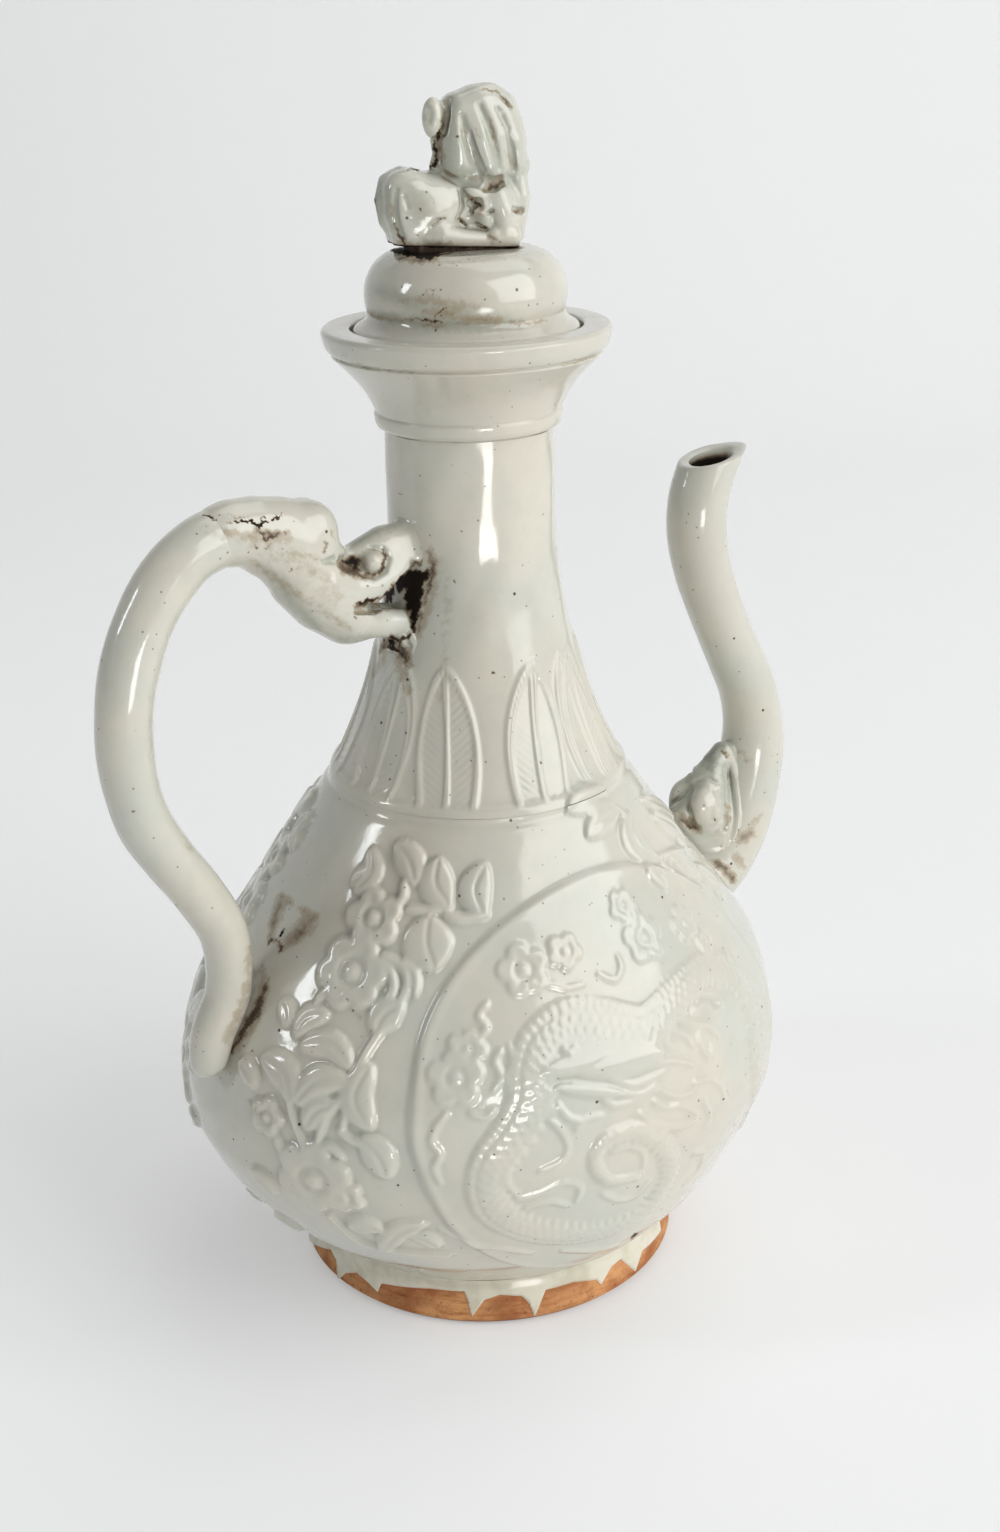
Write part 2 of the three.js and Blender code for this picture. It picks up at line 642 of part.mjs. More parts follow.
const finial = new THREE.Group();
finial.position.z = lidFlangeHeight + lidWaistHeight + domeHeight;
finial.rotation.z = THREE.MathUtils.degToRad(finialTurn);
lid.add(finial);
const plinth = new THREE.Group();
plinth.position.x = -finialSetBack;
finial.add(plinth);
const lion = new THREE.Group();
lion.position.z = plinthHeight;
plinth.add(piece('finial_plinth', geometryOf(makePlinth())), lion);
lion.add(piece('lion_body', geometryOf(lionBody)), piece('lion_head', geometryOf(lionHead)));

const object = new THREE.Group();
object.add(ewer, lid);

export default object;
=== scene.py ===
import math

import bpy
import numpy as np
from mathutils import Matrix, Vector


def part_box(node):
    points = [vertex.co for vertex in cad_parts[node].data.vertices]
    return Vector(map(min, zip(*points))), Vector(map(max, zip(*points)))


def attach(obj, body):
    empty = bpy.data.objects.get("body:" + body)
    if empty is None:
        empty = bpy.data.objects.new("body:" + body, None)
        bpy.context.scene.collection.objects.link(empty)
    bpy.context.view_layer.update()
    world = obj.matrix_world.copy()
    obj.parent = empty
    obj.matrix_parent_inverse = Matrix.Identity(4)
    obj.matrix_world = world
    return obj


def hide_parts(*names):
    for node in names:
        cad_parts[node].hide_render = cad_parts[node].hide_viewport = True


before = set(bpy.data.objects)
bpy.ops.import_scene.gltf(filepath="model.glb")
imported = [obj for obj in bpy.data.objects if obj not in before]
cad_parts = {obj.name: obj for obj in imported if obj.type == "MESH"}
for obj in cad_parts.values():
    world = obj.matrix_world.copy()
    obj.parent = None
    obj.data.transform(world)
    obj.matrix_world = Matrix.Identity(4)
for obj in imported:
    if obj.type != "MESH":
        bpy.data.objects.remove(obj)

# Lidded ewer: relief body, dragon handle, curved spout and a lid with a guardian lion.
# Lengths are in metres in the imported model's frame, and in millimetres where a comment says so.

MM = 0.001
UP = np.array([0, 0, 1])
EWER = "ewer"
LID = "lid"
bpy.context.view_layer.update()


def corners(node):
    low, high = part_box(node)
    return np.array(low), np.array(high)


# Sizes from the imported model
foot_high = corners("foot_ring")[1]
neck_low, neck_high = corners("neck")
mouth_low, mouth_high = corners("mouth_cup")
dome_low, dome_high = corners("lid_dome")
collar_low, collar_high = corners("lid_collar")
plinth_low, plinth_high = corners("finial_plinth")
spout_high = corners("spout_tube")[1]

foot_radius = foot_high[0]
foot_height = foot_high[2]
foot_top_radius = foot_radius - 1.6 * MM
foot_wall = 8 * MM
body_half_length = 84 * MM
body_half_depth = 72.5 * MM
body_wall = 5 * MM
belly_height = 60 * MM
shoulder_height = neck_low[2]
shoulder_radius = 38.8 * MM
neck_radius = 20.9 * MM
neck_wall = 4.5 * MM
neck_top_height = neck_high[2]
lower_body_shares = ((0, 0), (0.14, 0.24), (0.277, 0.455), (0.553, 0.765), (0.83, 0.965), (1, 1))
upper_body_shares = (
    (0, 1), (0.095, 0.99), (0.29, 0.891), (0.485, 0.661), (0.68, 0.408), (0.875, 0.155), (1, 0))
neck_shares = ((0, 1), (0.063, 0.79), (0.238, 0.44), (0.413, 0.214), (0.618, 0.05), (0.8, 0), (1, 0))

# Camera: fitted to the photograph, whose frame is 1000 by 1532 pixels
photo_width = 1000
photo_height = 1532
focal_pixels = 1950
camera_distance = 9.167 * foot_radius
camera_height = 6.317 * foot_radius
camera_reach = 100 * camera_distance
camera_pitch = math.radians(21.729)
camera_roll = math.radians(-1.145)
camera_yaw = math.radians(0.713)
camera_turn = math.radians(35)
film_size = 36


def turned_frame():
    turn_right = np.array([math.cos(camera_turn), -math.sin(camera_turn), 0])
    turn_away = np.array([math.sin(camera_turn), math.cos(camera_turn), 0])
    level = math.sin(camera_yaw) * turn_right + math.cos(camera_yaw) * turn_away
    right = math.cos(camera_yaw) * turn_right - math.sin(camera_yaw) * turn_away
    forward = math.cos(camera_pitch) * level - math.sin(camera_pitch) * UP
    top = math.sin(camera_pitch) * level + math.cos(camera_pitch) * UP
    rolled_right = math.cos(camera_roll) * right + math.sin(camera_roll) * top
    rolled_top = -math.sin(camera_roll) * right + math.cos(camera_roll) * top
    place = -camera_distance * turn_away + camera_height * UP
    return place, rolled_right, rolled_top, forward


eye, eye_right, eye_top, eye_forward = turned_frame()

# Level directions away from the camera and to its right, for the stage and the lamps
room_away = np.array([eye_forward[0], eye_forward[1], 0])
room_away /= np.linalg.norm(room_away)
room_side = np.array([room_away[1], -room_away[0], 0])


def add_object(name, data):
    item = bpy.data.objects.new(name, data)
    bpy.context.scene.collection.objects.link(item)
    return item


def make_camera():
    data = bpy.data.cameras.new("camera")
    data.sensor_width = film_size
    data.sensor_fit = "AUTO"
    data.lens = film_size * focal_pixels / photo_height
    data.clip_end = camera_reach
    camera = add_object("camera", data)
    axes = np.stack([eye_right, eye_top, -eye_forward], axis=1)
    matrix = Matrix(axes.tolist()).to_4x4()
    matrix.translation = Vector(eye)
    camera.matrix_world = matrix
    bpy.context.scene.camera = camera


# Profile of body and neck
def spline_curve(rows, steps=24):
    points = np.array(rows, float)
    last = len(points) - 1
    result = []
    for i in range(last):
        p0 = points[max(i - 1, 0)]
        p1 = points[i]
        p2 = points[i + 1]
        p3 = points[min(i + 2, last)]
        v0 = (p2 - p0) / 2
        v1 = (p3 - p1) / 2
        for j in range(steps):
            t = j / steps
            result.append((2 * p1 - 2 * p2 + v0 + v1) * t ** 3
                          + (-3 * p1 + 3 * p2 - 2 * v0 - v1) * t ** 2 + v0 * t + p1)
    result.append(points[-1])
    return np.array(result)


lower_curve = spline_curve(lower_body_shares)
upper_curve = spline_curve(upper_body_shares)
neck_curve = spline_curve(neck_shares)


def read_curve(curve, at):
    return np.interp(at, curve[:, 0], curve[:, 1])


def wall_halves(z):
    """Half length and half depth of body and neck at each height."""
    z = np.asarray(z, float)
    low_share = read_curve(lower_curve, (z - foot_height) / (belly_height - foot_height))
    high_share = read_curve(upper_curve, (z - belly_height) / (shoulder_height - belly_height))
    neck_share = read_curve(neck_curve, (z - shoulder_height) / (neck_top_height - shoulder_height))
    end = np.where(z < belly_height, foot_top_radius, shoulder_radius)
    share = np.where(z < belly_height, low_share, high_share)
    length = end + share * (body_half_length - end)
    depth = end + share * (body_half_depth - end)
    neck = neck_radius + neck_share * (shoulder_radius - neck_radius)
    on_neck = z > shoulder_height
    return np.where(on_neck, neck, length), np.where(on_neck, neck, depth)


# Between the photograph's pixels and places in space
def ray_through(x, y):
    across = (x - photo_width / 2) / focal_pixels
    down = (y - photo_height / 2) / focal_pixels
    return eye_forward + across * eye_right - down * eye_top


near_sight = 0.7 * camera_distance
far_sight = 1.5 * camera_distance
sight_steps = 500


def on_wall(pixels):
    """Where the sight lines of pixels meet the wall of body or neck."""
    places = []
    steps = np.linspace(near_sight, far_sight, sight_steps)
    for x, y in pixels:
        line = eye + steps[:, None] * ray_through(x, y)
        length, depth = wall_halves(line[:, 2])
        inside = (line[:, 0] / length) ** 2 + (line[:, 1] / depth) ** 2 - 1
        inside = np.where(line[:, 2] < foot_height, 1, inside)
        hit = np.argmax(inside < 0) if (inside < 0).any() else np.argmin(inside)
        place = line[hit]
        if inside[hit] < 0 < inside[hit - 1]:
            share = inside[hit - 1] / (inside[hit - 1] - inside[hit])
            place = line[hit - 1] + share * (line[hit] - line[hit - 1])
        places.append(place)
    return np.array(places)


def smooth_line(points, steps=6):
    """Smooth curve through rows of any width."""
    points = np.array(points, float)
    if len(points) < 3:
        share = np.linspace(0, 1, steps + 1)[:, None]
        return points[0] * (1 - share) + points[-1] * share
    return spline_curve(points, steps)


# Meshes
cap_share = 0.01


def grid_faces(rows, columns):
    i = np.arange(rows - 1)[:, None] * columns
    j = np.arange(columns)[None, :]
    k = (j + 1) % columns
    faces = np.stack([i + j, i + k, i + columns + k, i + columns + j], axis=-1)
    return faces.reshape(-1, 4)


def closed_shell(rings):
    """Faces of a row of rings that runs from the last ring back to the first."""
    rings = np.asarray(rings)
    rows, columns = rings.shape[:2]
    faces = grid_faces(rows, columns)
    j = np.arange(columns)
    k = (j + 1) % columns
    last = (rows - 1) * columns
    back = np.stack([last + j, last + k, k, j], axis=-1)
    return rings.reshape(-1, 3), np.concatenate([faces, back])


def capped_tube(rings):
    """Faces of a row of rings whose two ends are closed by fans of thin quads."""
    rings = np.asarray(rings)
    rows, columns = rings.shape[:2]
    first = rings[0].mean(axis=0)
    last = rings[-1].mean(axis=0)
    inner_first = first + (rings[0] - first) * cap_share
    inner_last = last + (rings[-1] - last) * cap_share
    rings = np.concatenate([inner_first[None], rings, inner_last[None]])
    rows = rows + 2
    faces = list(map(tuple, grid_faces(rows, columns)))
    faces.append(tuple(range(columns))[::-1])
    faces.append(tuple((rows - 1) * columns + j for j in range(columns)))
    return rings.reshape(-1, 3), faces


def volume_of(points, faces):
    total = 0
    a = points[faces[:, 0]]
    for i, j in ((1, 2), (2, 3)):
        total += np.einsum("ij,ij->i", a, np.cross(points[faces[:, i]], points[faces[:, j]])).sum()
    return total


def make_piece(name, points, faces, material, body, nodes, marks=None, sharp=50):
    """A piece of the ewer or its lid. Its marks are values at its points, which its material reads."""
    mesh = bpy.data.meshes.new(name)
    if isinstance(faces, np.ndarray):
        if volume_of(points, faces) < 0:
            faces = faces[:, ::-1]
        mesh.vertices.add(len(points))
        mesh.vertices.foreach_set("co", np.ascontiguousarray(points, np.float32).ravel())
        mesh.loops.add(faces.size)
        mesh.loops.foreach_set("vertex_index", np.ascontiguousarray(faces, np.int32).ravel())
        mesh.polygons.add(len(faces))
        mesh.polygons.foreach_set("loop_start", np.arange(0, faces.size, 4, dtype=np.int32))
        mesh.update(calc_edges=True)
    else:
        quads = np.array([face for face in faces if len(face) == 4])
        if volume_of(points, quads) < 0:
            faces = [tuple(face)[::-1] for face in faces]
        mesh.from_pydata(points.tolist(), [], faces)
        mesh.update()
    for key, values in (marks or {}).items():
        layer = mesh.attributes.new(key, "FLOAT", "POINT")
        layer.data.foreach_set("value", np.ascontiguousarray(values, np.float32).ravel())
    mesh.shade_smooth()
    mesh.set_sharp_from_angle(angle=math.radians(sharp))
    mesh.materials.append(material)
    piece = add_object(name, mesh)
    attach(piece, body)
    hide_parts(*nodes)
    return piece


# Materials
def linear(red, green, blue):
    """Colour of the photograph, 0 to 255, as the shader wants it."""
    values = []
    for value in (red, green, blue):
        value = value / 255
        values.append(value / 12.92 if value <= 0.04045 else ((value + 0.055) / 1.055) ** 2.4)
    return (*values, 1)


class Nodes:
    """Short words for building a node tree."""

    def __init__(self, name):
        self.material = bpy.data.materials.new(name)
        self.material.use_nodes = True
        self.tree = self.material.node_tree
        self.shader = self.tree.nodes["Principled BSDF"]
        self.coordinates = self.tree.nodes.new("ShaderNodeTexCoord").outputs["Object"]

    def put(self, socket, value):
        if isinstance(value, bpy.types.NodeSocket):
            self.tree.links.new(value, socket)
        else:
            socket.default_value = value

    def node(self, kind, output, inputs, **settings):
        """Makes a node with settings, fills its inputs and gives back one output."""
        node = self.tree.nodes.new(kind)
        for key, value in settings.items():
            setattr(node, key, value)
        for socket, value in inputs.items():
            self.put(node.inputs[socket], value)
        return node.outputs[output]

    def noise(self, size, detail=3, roughness=0.5, distortion=0, coordinates=None):
        where = self.coordinates if coordinates is None else coordinates
        return self.node("ShaderNodeTexNoise", "Fac", {
            "Vector": where, "Scale": 1 / size, "Detail": detail, "Roughness": roughness,
            "Distortion": distortion})

    def cells(self, size, output="Distance"):
        return self.node("ShaderNodeTexVoronoi", output, {"Vector": self.coordinates, "Scale": 1 / size})

    def attribute(self, name):
        return self.node("ShaderNodeAttribute", "Fac", {}, attribute_name=name)

    def span(self, value, low, high, to_low=0, to_high=1):
        return self.node("ShaderNodeMapRange", "Result", {
            "Value": value, "From Min": low, "From Max": high, "To Min": to_low, "To Max": to_high},
            interpolation_type="SMOOTHSTEP")

    def math(self, kind, first, second):
        return self.node("ShaderNodeMath", 0, {0: first, 1: second}, operation=kind)

    def times(self, first, second):
        return self.math("MULTIPLY", first, second)

    def shaken(self, value, noise, reach):
        """Value moved up and down by noise about its middle."""
        return self.math("ADD", value, self.times(self.math("SUBTRACT", noise, 0.5), reach))

    def mix(self, factor, first, second):
        return self.node("ShaderNodeMix", "Result", {"Factor": factor, "A": first, "B": second},
                         data_type="RGBA")

    def layers(self, colour, rows, sources):
        """Lays colours over each other, each steered by a source from where it starts to where it is full."""
        for source, start, full, strength, over in rows:
            factor = self.span(sources[source], start, full, 0, strength)
            colour = self.mix(factor, colour, linear(*over))
        return colour

    def bump(self, height, strength, distance, normal=None):
        inputs = {"Strength": strength, "Distance": distance, "Height": height}
        if normal is not None:
            inputs["Normal"] = normal
        return self.node("ShaderNodeBump", "Normal", inputs)

    def set(self, **values):
        """Sets inputs of the shader, whose names are given with low lines for spaces."""
        for name, value in values.items():
            self.put(self.shader.inputs[name.replace("_", " ")], value)


# Layers of colour: source, where it starts, where it is full, its strength and its colour
glaze_colours = ((191, 192, 182), (200, 196, 183))
glaze_layers = (
    ("mottle", 0.4, 0.75, 0.35, (182, 184, 172)),
    # Glaze lies thicker and greener in the hollows and thinner and warmer over raised edges; from 1 up the
    # dark grey is painted shade, in deep creases and under shade strokes
    ("hollow", 0.05, 0.9, 0.75, (158, 161, 147)), ("hollow", 1, 1.7, 0.8, (104, 106, 97)),
    ("hollow", -0.1, -0.9, 0.5, (216, 210, 196)),
    # Warm and cool clouds as wide as a hand
    ("cloud", 0.5, 0.68, 0.25, (190, 180, 167)), ("cloud", 0.48, 0.34, 0.18, (178, 188, 184)),
    # Brown dirt and black crevices, which also carry painted shade: black in holes, gapes and the spout's
    # bore
    ("stain_and_shade", 0.2, 0.7, 0.65, (146, 126, 96)), ("stain_and_shade", 0.6, 1.25, 0.9, (72, 54, 38)),
    ("stain_and_shade", 1.1, 1.9, 0.95, (20, 15, 11)))
cloud_size = 70 * MM
patch_size = 45 * MM
mottle_size = 6 * MM
stain_and_shade_grain = 2.6 * MM
stain_and_shade_wander = 1.35
# Iron specks, a few large and many small: size of their cells, full and faint radius share, and strength
speck_rows = ((7 * MM, 0.04, 0.075, 0.95), (3 * MM, 0.06, 0.12, 0.6))
speck_colour = (60, 50, 40)
gloss_patch_size = 12 * MM
wave_size = 9 * MM
wave_height = 0.4 * MM
ripple_size = 2.2 * MM
pit_cell = 1.9 * MM
ripple_height = 0.1 * MM


def make_glaze():
    n = Nodes("glaze")
    stain_and_shade = n.attribute("stain_and_shade")
    loose = n.span(stain_and_shade, 0.05, 0.5)
    stain_and_shade = n.shaken(stain_and_shade, n.noise(stain_and_shade_grain, 6, 0.7), n.times(loose, stain_and_shade_wander))
    sources = {"mottle": n.noise(mottle_size, 3, 0.6), "hollow": n.attribute("hollow"),
               "cloud": n.noise(cloud_size, 2), "stain_and_shade": stain_and_shade}
    pale, warm = glaze_colours
    patches = n.span(n.noise(patch_size, 4, 0.55, 0.4), 0.35, 0.65)
    colour = n.layers(n.mix(patches, linear(*pale), linear(*warm)), glaze_layers, sources)
    for size, full, faint, strength in speck_rows:
        chosen = n.span(n.cells(size, "Color"), 0.52, 0.56)
        speck = n.times(n.span(n.cells(size), faint, full), chosen)
        colour = n.mix(n.times(speck, strength), colour, linear(*speck_colour))
    rough = n.math("ADD", n.span(n.noise(gloss_patch_size, 4), 0.3, 0.7, 0.09, 0.16),
                   n.span(stain_and_shade, 0.3, 1, 0, 0.5))
    ripple = n.bump(n.noise(wave_size, 2), 0.4, wave_height)
    ripple = n.bump(n.noise(ripple_size, 2), 0.35, ripple_height, ripple)
    pits = n.times(n.span(n.cells(pit_cell), 0.16, 0.06), n.span(n.cells(pit_cell, "Color"), 0.7, 0.72))
    ripple = n.bump(n.math("SUBTRACT", 1, pits), 0.35, ripple_height, ripple)
    n.set(Base_Color=colour, Roughness=rough, IOR=1.5, Normal=ripple,
          Coat_Weight=n.span(stain_and_shade, 0.4, 1, 0.3, 0), Coat_Roughness=0.06,
          Specular_IOR_Level=n.span(stain_and_shade, 1, 1.8, 0.5, 0.1))
    return n.material


glaze = make_glaze()

clay_colours = ((150, 92, 52), (206, 150, 98))
clay_layers = (
    ("grain", 0.5, 0.75, 0.6, (112, 64, 34)), ("pits", 0.2, 0.1, 0.6, (76, 44, 26)),
    # Streaks left by turning, and a painted contact shadow darkening the lower edge
    ("streak", 0.45, 0.62, 0.5, (158, 88, 40)), ("streak", 0.58, 0.7, 0.7, (104, 60, 30)),
    ("height", 1.8 * MM, 0.3 * MM, 0.7, (84, 54, 34)))
run_colours = ((212, 208, 192), (196, 190, 170))
run_edge_colour = (176, 96, 44)
clay_patch_size = 14 * MM
clay_grain = 1.1 * MM
clay_pit_cell = 3 * MM
streak_size = 9 * MM
streak_flatness = 7
run_patch_size = 6 * MM
run_edge_size = 2.5 * MM
clay_lump_size = 5 * MM
clay_roughness_height = 0.3 * MM


def make_foot_material():
    n = Nodes("foot")
    grain = n.noise(clay_grain, 5, 0.7)
    flat = n.node("ShaderNodeVectorMath", 0, {0: n.coordinates, 1: (1, 1, streak_flatness)},
                  operation="MULTIPLY")
    sources = {"grain": grain, "pits": n.cells(clay_pit_cell),
               "streak": n.noise(streak_size, 5, 0.65, coordinates=flat),
               "height": n.node("ShaderNodeSeparateXYZ", "Z", {0: n.coordinates})}
    dark, light = clay_colours
    patches = n.span(n.noise(clay_patch_size, 4, 0.6, 0.6), 0.32, 0.68)
    clay = n.layers(n.mix(patches, linear(*dark), linear(*light)), clay_layers, sources)
    edge = n.shaken(n.attribute("glazed"), n.noise(run_edge_size), 0.3)
    thin, thick = run_colours
    pale = n.mix(n.span(n.noise(run_patch_size), 0.4, 0.7), linear(*thin), linear(*thick))
    colour = n.mix(n.span(edge, 0.42, 0.56), clay, pale)
    # A darker orange line where the glaze ends
    line = n.times(n.span(edge, 0.2, 0.4), n.span(edge, 0.55, 0.45))
    colour = n.mix(n.times(line, 0.7), colour, linear(*run_edge_colour))
    rough = n.bump(n.times(grain, n.span(edge, 0.6, 0.4)), 0.6, clay_roughness_height)
    n.set(Base_Color=colour, Roughness=n.span(edge, 0.4, 0.6, 0.82, 0.16),
          Normal=n.bump(n.noise(clay_lump_size, 2), 0.2, clay_roughness_height, rough))
    return n.material


# Relief on the wall of body and neck, as a grid of angles and heights
columns = 1200
body_rows = 320
neck_rows = 230
inner_rows = 24
hollow_rounds = 14
hollow_depth = 0.8 * MM
melt_rounds = 2


def wall_grid(low, high, rows, inward=0):
    """Rings of points on the wall, or that far inside it."""
    heights = np.linspace(low, high, rows)
    length, depth = wall_halves(heights)
    angles = np.linspace(-np.pi, np.pi, columns, endpoint=False)
    grid = np.zeros((rows, columns, 3))
    grid[..., 0] = (length[:, None] - inward) * np.cos(angles)
    grid[..., 1] = (depth[:, None] - inward) * np.sin(angles)
    grid[..., 2] = heights[:, None]
    return grid


def blurred(grid, rounds, centre):
    """Grid averaged with its neighbours, where the centre counts that many times."""
    for _ in range(rounds):
        grid = (grid * centre + np.roll(grid, 1, axis=1) + np.roll(grid, -1, axis=1)) / (centre + 2)
        padded = np.concatenate([grid[:1], grid, grid[-1:]])
        grid = (padded[:-2] + padded[1:-1] * centre + padded[2:]) / (centre + 2)
    return grid


class Wall:
    """A stretch of the wall whose points are pushed out by relief."""

    def __init__(self, low, high, rows, wall_thickness):
        self.shape = (rows, columns)
        self.inner = wall_grid(low, high, inner_rows, wall_thickness)
        grid = wall_grid(low, high, rows)
        around = np.roll(grid, -1, axis=1) - np.roll(grid, 1, axis=1)
        normal = np.cross(around, np.gradient(grid, axis=0))
        normal /= np.linalg.norm(normal, axis=2, keepdims=True)
        self.points = grid.reshape(-1, 3)
        self.normals = normal.reshape(-1, 3)
        self.relief = np.zeros(len(self.points))

    def near(self, path, reach):
        low = path.min(axis=0) - reach
        high = path.max(axis=0) + reach
        return np.nonzero(((self.points > low) & (self.points < high)).all(axis=1))[0]

    def follow(self, path, reach):
        """Distance from a line on the wall, place along it and signed place across it."""
        chosen = self.near(path, reach)
        points = self.points[chosen]
        normals = self.normals[chosen]
        best = np.full(len(chosen), np.inf)
        along = np.zeros(len(chosen))
        across = np.zeros(len(chosen))
        start = 0
        for a, b in zip(path[:-1], path[1:]):
            edge = b - a
            size = np.linalg.norm(edge)
            if size == 0:
                continue
            edge = edge / size
            t = np.clip((points - a) @ edge, 0, size)
            off = points - a - t[:, None] * edge
            distance = np.einsum("ij,ij->i", off, off)
            closer = distance < best
            best[closer] = distance[closer]
            along[closer] = start + t[closer]
            across[closer] = np.einsum("ij,ij->i", np.cross(normals[closer], edge), off[closer])
            start += size
        return chosen, np.sqrt(best), along, across, start

    def raise_to(self, chosen, height):
        self.relief[chosen] = np.maximum(self.relief[chosen], height)

    def hollows(self):
        grid = self.relief.reshape(self.shape)
        return ((blurred(grid, hollow_rounds, 1) - grid) / hollow_depth).ravel()

    def melt(self):
        """Softens the relief as a thick glaze does."""
        self.relief = blurred(self.relief.reshape(self.shape), melt_rounds, 2).ravel()

    def build(self, name, strokes, nodes):
        """The wall as a piece, marked by strokes of dirt and painted shade."""
        outside = (self.points + self.normals * self.relief[:, None]).reshape(*self.shape, 3)
        points, faces = closed_shell(np.concatenate([outside, self.inner[::-1]]))
        rest = np.zeros(inner_rows * columns)
        # Deep creases of the relief reach the dark grey painted shade of the glaze
        marks = {"hollow": np.concatenate([self.hollows(), rest]),
                 "stain_and_shade": np.concatenate([paint(self.points, strokes), rest])}
        make_piece(name, points, faces, glaze, EWER, nodes, marks=marks)


def dome(share):
    return np.sqrt(np.clip(1 - share ** 2, 0, 1))


def bell(place, middle, width):
    """Smooth hump of height 1 about a middle."""
    return np.exp(-((place - middle) / width) ** 2)


def step_edge(value, low, high):
    share = np.clip((value - low) / (high - low), 0, 1)
    return share * share * (3 - 2 * share)


def seen_at(points, flip=True):
    """Pixel column and row of points, each first brought to the near side of the handle's plane."""
    near = np.array(points, float)
    if flip:
        near[:, 1] = -np.abs(near[:, 1])
    off = near - eye
    depth = off @ eye_forward
    column = photo_width / 2 + focal_pixels * (off @ eye_right) / depth
    row = photo_height / 2 - focal_pixels * (off @ eye_top) / depth
    return column, row


# Strokes waver as if drawn by hand: size in pixels, turns with column and row in radians, and start
column_waves = ((0.9, 0.31, 0.55, 0), (0.6, -0.9, 1.3, 2))
row_waves = ((0.9, 0.6, -0.23, 1), (0.6, 1.25, 0.8, 0))


def wavered(value, column, row, waves):
    return value + sum(size * np.sin(column * by_column + row * by_row + start)
                       for size, by_column, by_row, start in waves)


def paint(points, strokes, flip=True):
    """Strength of strokes at points.

    A stroke is its strength, its soft edge and rows of pixel column, pixel row and half width.
    """
    seen = seen_at(points, flip)
    column = wavered(seen[0], *seen, column_waves)
    row = wavered(seen[1], *seen, row_waves)
    result = np.zeros(len(points))
    for strength, soft, *rows in strokes:
        best = np.full(len(points), np.inf)
        if len(rows) == 1:
            rows = rows * 2
        for (xa, ya, ra), (xb, yb, rb) in zip(rows[:-1], rows[1:]):
            size = max(math.hypot(xb - xa, yb - ya), 1e-6)
            t = np.clip(((column - xa) * (xb - xa) + (row - ya) * (yb - ya)) / size ** 2, 0, 1)
            off = np.hypot(column - xa - t * (xb - xa), row - ya - t * (yb - ya)) - ra - (rb - ra) * t
            best = np.minimum(best, off)
        result = np.maximum(result, strength * step_edge(-best, -soft, soft))
    return result


body = Wall(foot_height, shoulder_height, body_rows, body_wall)
neck = Wall(shoulder_height, neck_top_height, neck_rows, neck_wall)
walls = (body, neck)

# Moulded panel on the front: a raised disc whose outline is fuller than an ellipse
panel_half_width = 58 * MM
panel_half_height = 54 * MM
panel_centre_height = 71 * MM
panel_relief = 1.2 * MM
panel_power = 1.8
panel_edge = 0.7 * MM
panel_rim_share = 0.25
panel_rim_place = 1.2 * MM
panel_rim_width = 0.9 * MM
panel_fade = 30 * MM
spray_clearance_share = 1.08
handle_band = 3 * MM


def panel_share(wall):
    """0 in the middle of the panel, 1 on its outline."""
    x = np.abs(wall.points[:, 0]) / panel_half_width
    z = np.abs(wall.points[:, 2] - panel_centre_height) / panel_half_height
    return x ** panel_power + z ** panel_power


def panel_ground(wall):
    inward = (1 - panel_share(wall) ** (1 / panel_power)) * panel_half_width
    front = np.clip(np.abs(wall.points[:, 1]) / panel_fade, 0, 1)
    rim = panel_rim_share * bell(inward, panel_rim_place, panel_rim_width)
    return panel_relief * (step_edge(inward, -panel_edge, panel_edge) + rim) * front


line_taper_shares = (-0.2, 0.12)
line_end_share = 0.45


def stamp_lines(lines, half_width, height):
    """Raised lines through pixels of the photograph, thinner at both ends."""
    low, high = line_taper_shares
    for pixels in lines:
        path = on_wall(smooth_line(pixels, 5))
        for wall in walls:
            chosen, off, along, _, whole = wall.follow(path, half_width * 2)
            if not len(chosen):
                continue
            taper = step_edge(along, low * whole, high * whole)
            taper *= step_edge(whole - along, -high * whole, -low * whole)
            width = half_width * (line_end_share + (1 - line_end_share) * taper)
            wall.raise_to(chosen, height * dome(off / width))


vein_width = 0.5 * MM
leaf_power = 0.7
vein_reach_share = 0.9
leaf_reach_share = 1.5
leaf_end_shares = (0.001, 0.999)


def stamp_leaf(first, last, half_width, height, vein_share=0.3, full=0.55, bend_share=0):
    """Leaf from one pixel to another, bent sideways by a share of its length."""
    first = np.array(first, float)
    last = np.array(last, float)
    edge = last - first
    middle = (first + last) / 2 + bend_share * np.array([edge[1], -edge[0]])
    path = on_wall(smooth_line([first, middle, last], 6))
    for wall in walls:
        chosen, off, along, across, whole = wall.follow(path, half_width * leaf_reach_share)
        if not len(chosen):
            continue
        width = half_width * np.sin(np.pi * np.clip(along / whole, *leaf_end_shares)) ** full
        lift = height * dome(np.clip(across / width, -1, 1)) ** leaf_power * (off < width)
        lift -= vein_share * height * bell(across, 0, vein_width) * (off < width * vein_reach_share)
        wall.raise_to(chosen, lift)


def stamp_leaves(rows, height):
    for first, last, half_width, bend in rows:
        stamp_leaf(first, last, half_width * MM, height, bend_share=bend)


petal_place_share = 0.58
petal_radius_share = 0.44
petal_dent_share = 0.3
petal_power = 0.5
blossom_reach_share = 1.4
heart_power = 0.6
heart_groove_depth_share = 0.5
heart_groove_share = 0.33
heart_groove_width_share = 0.09


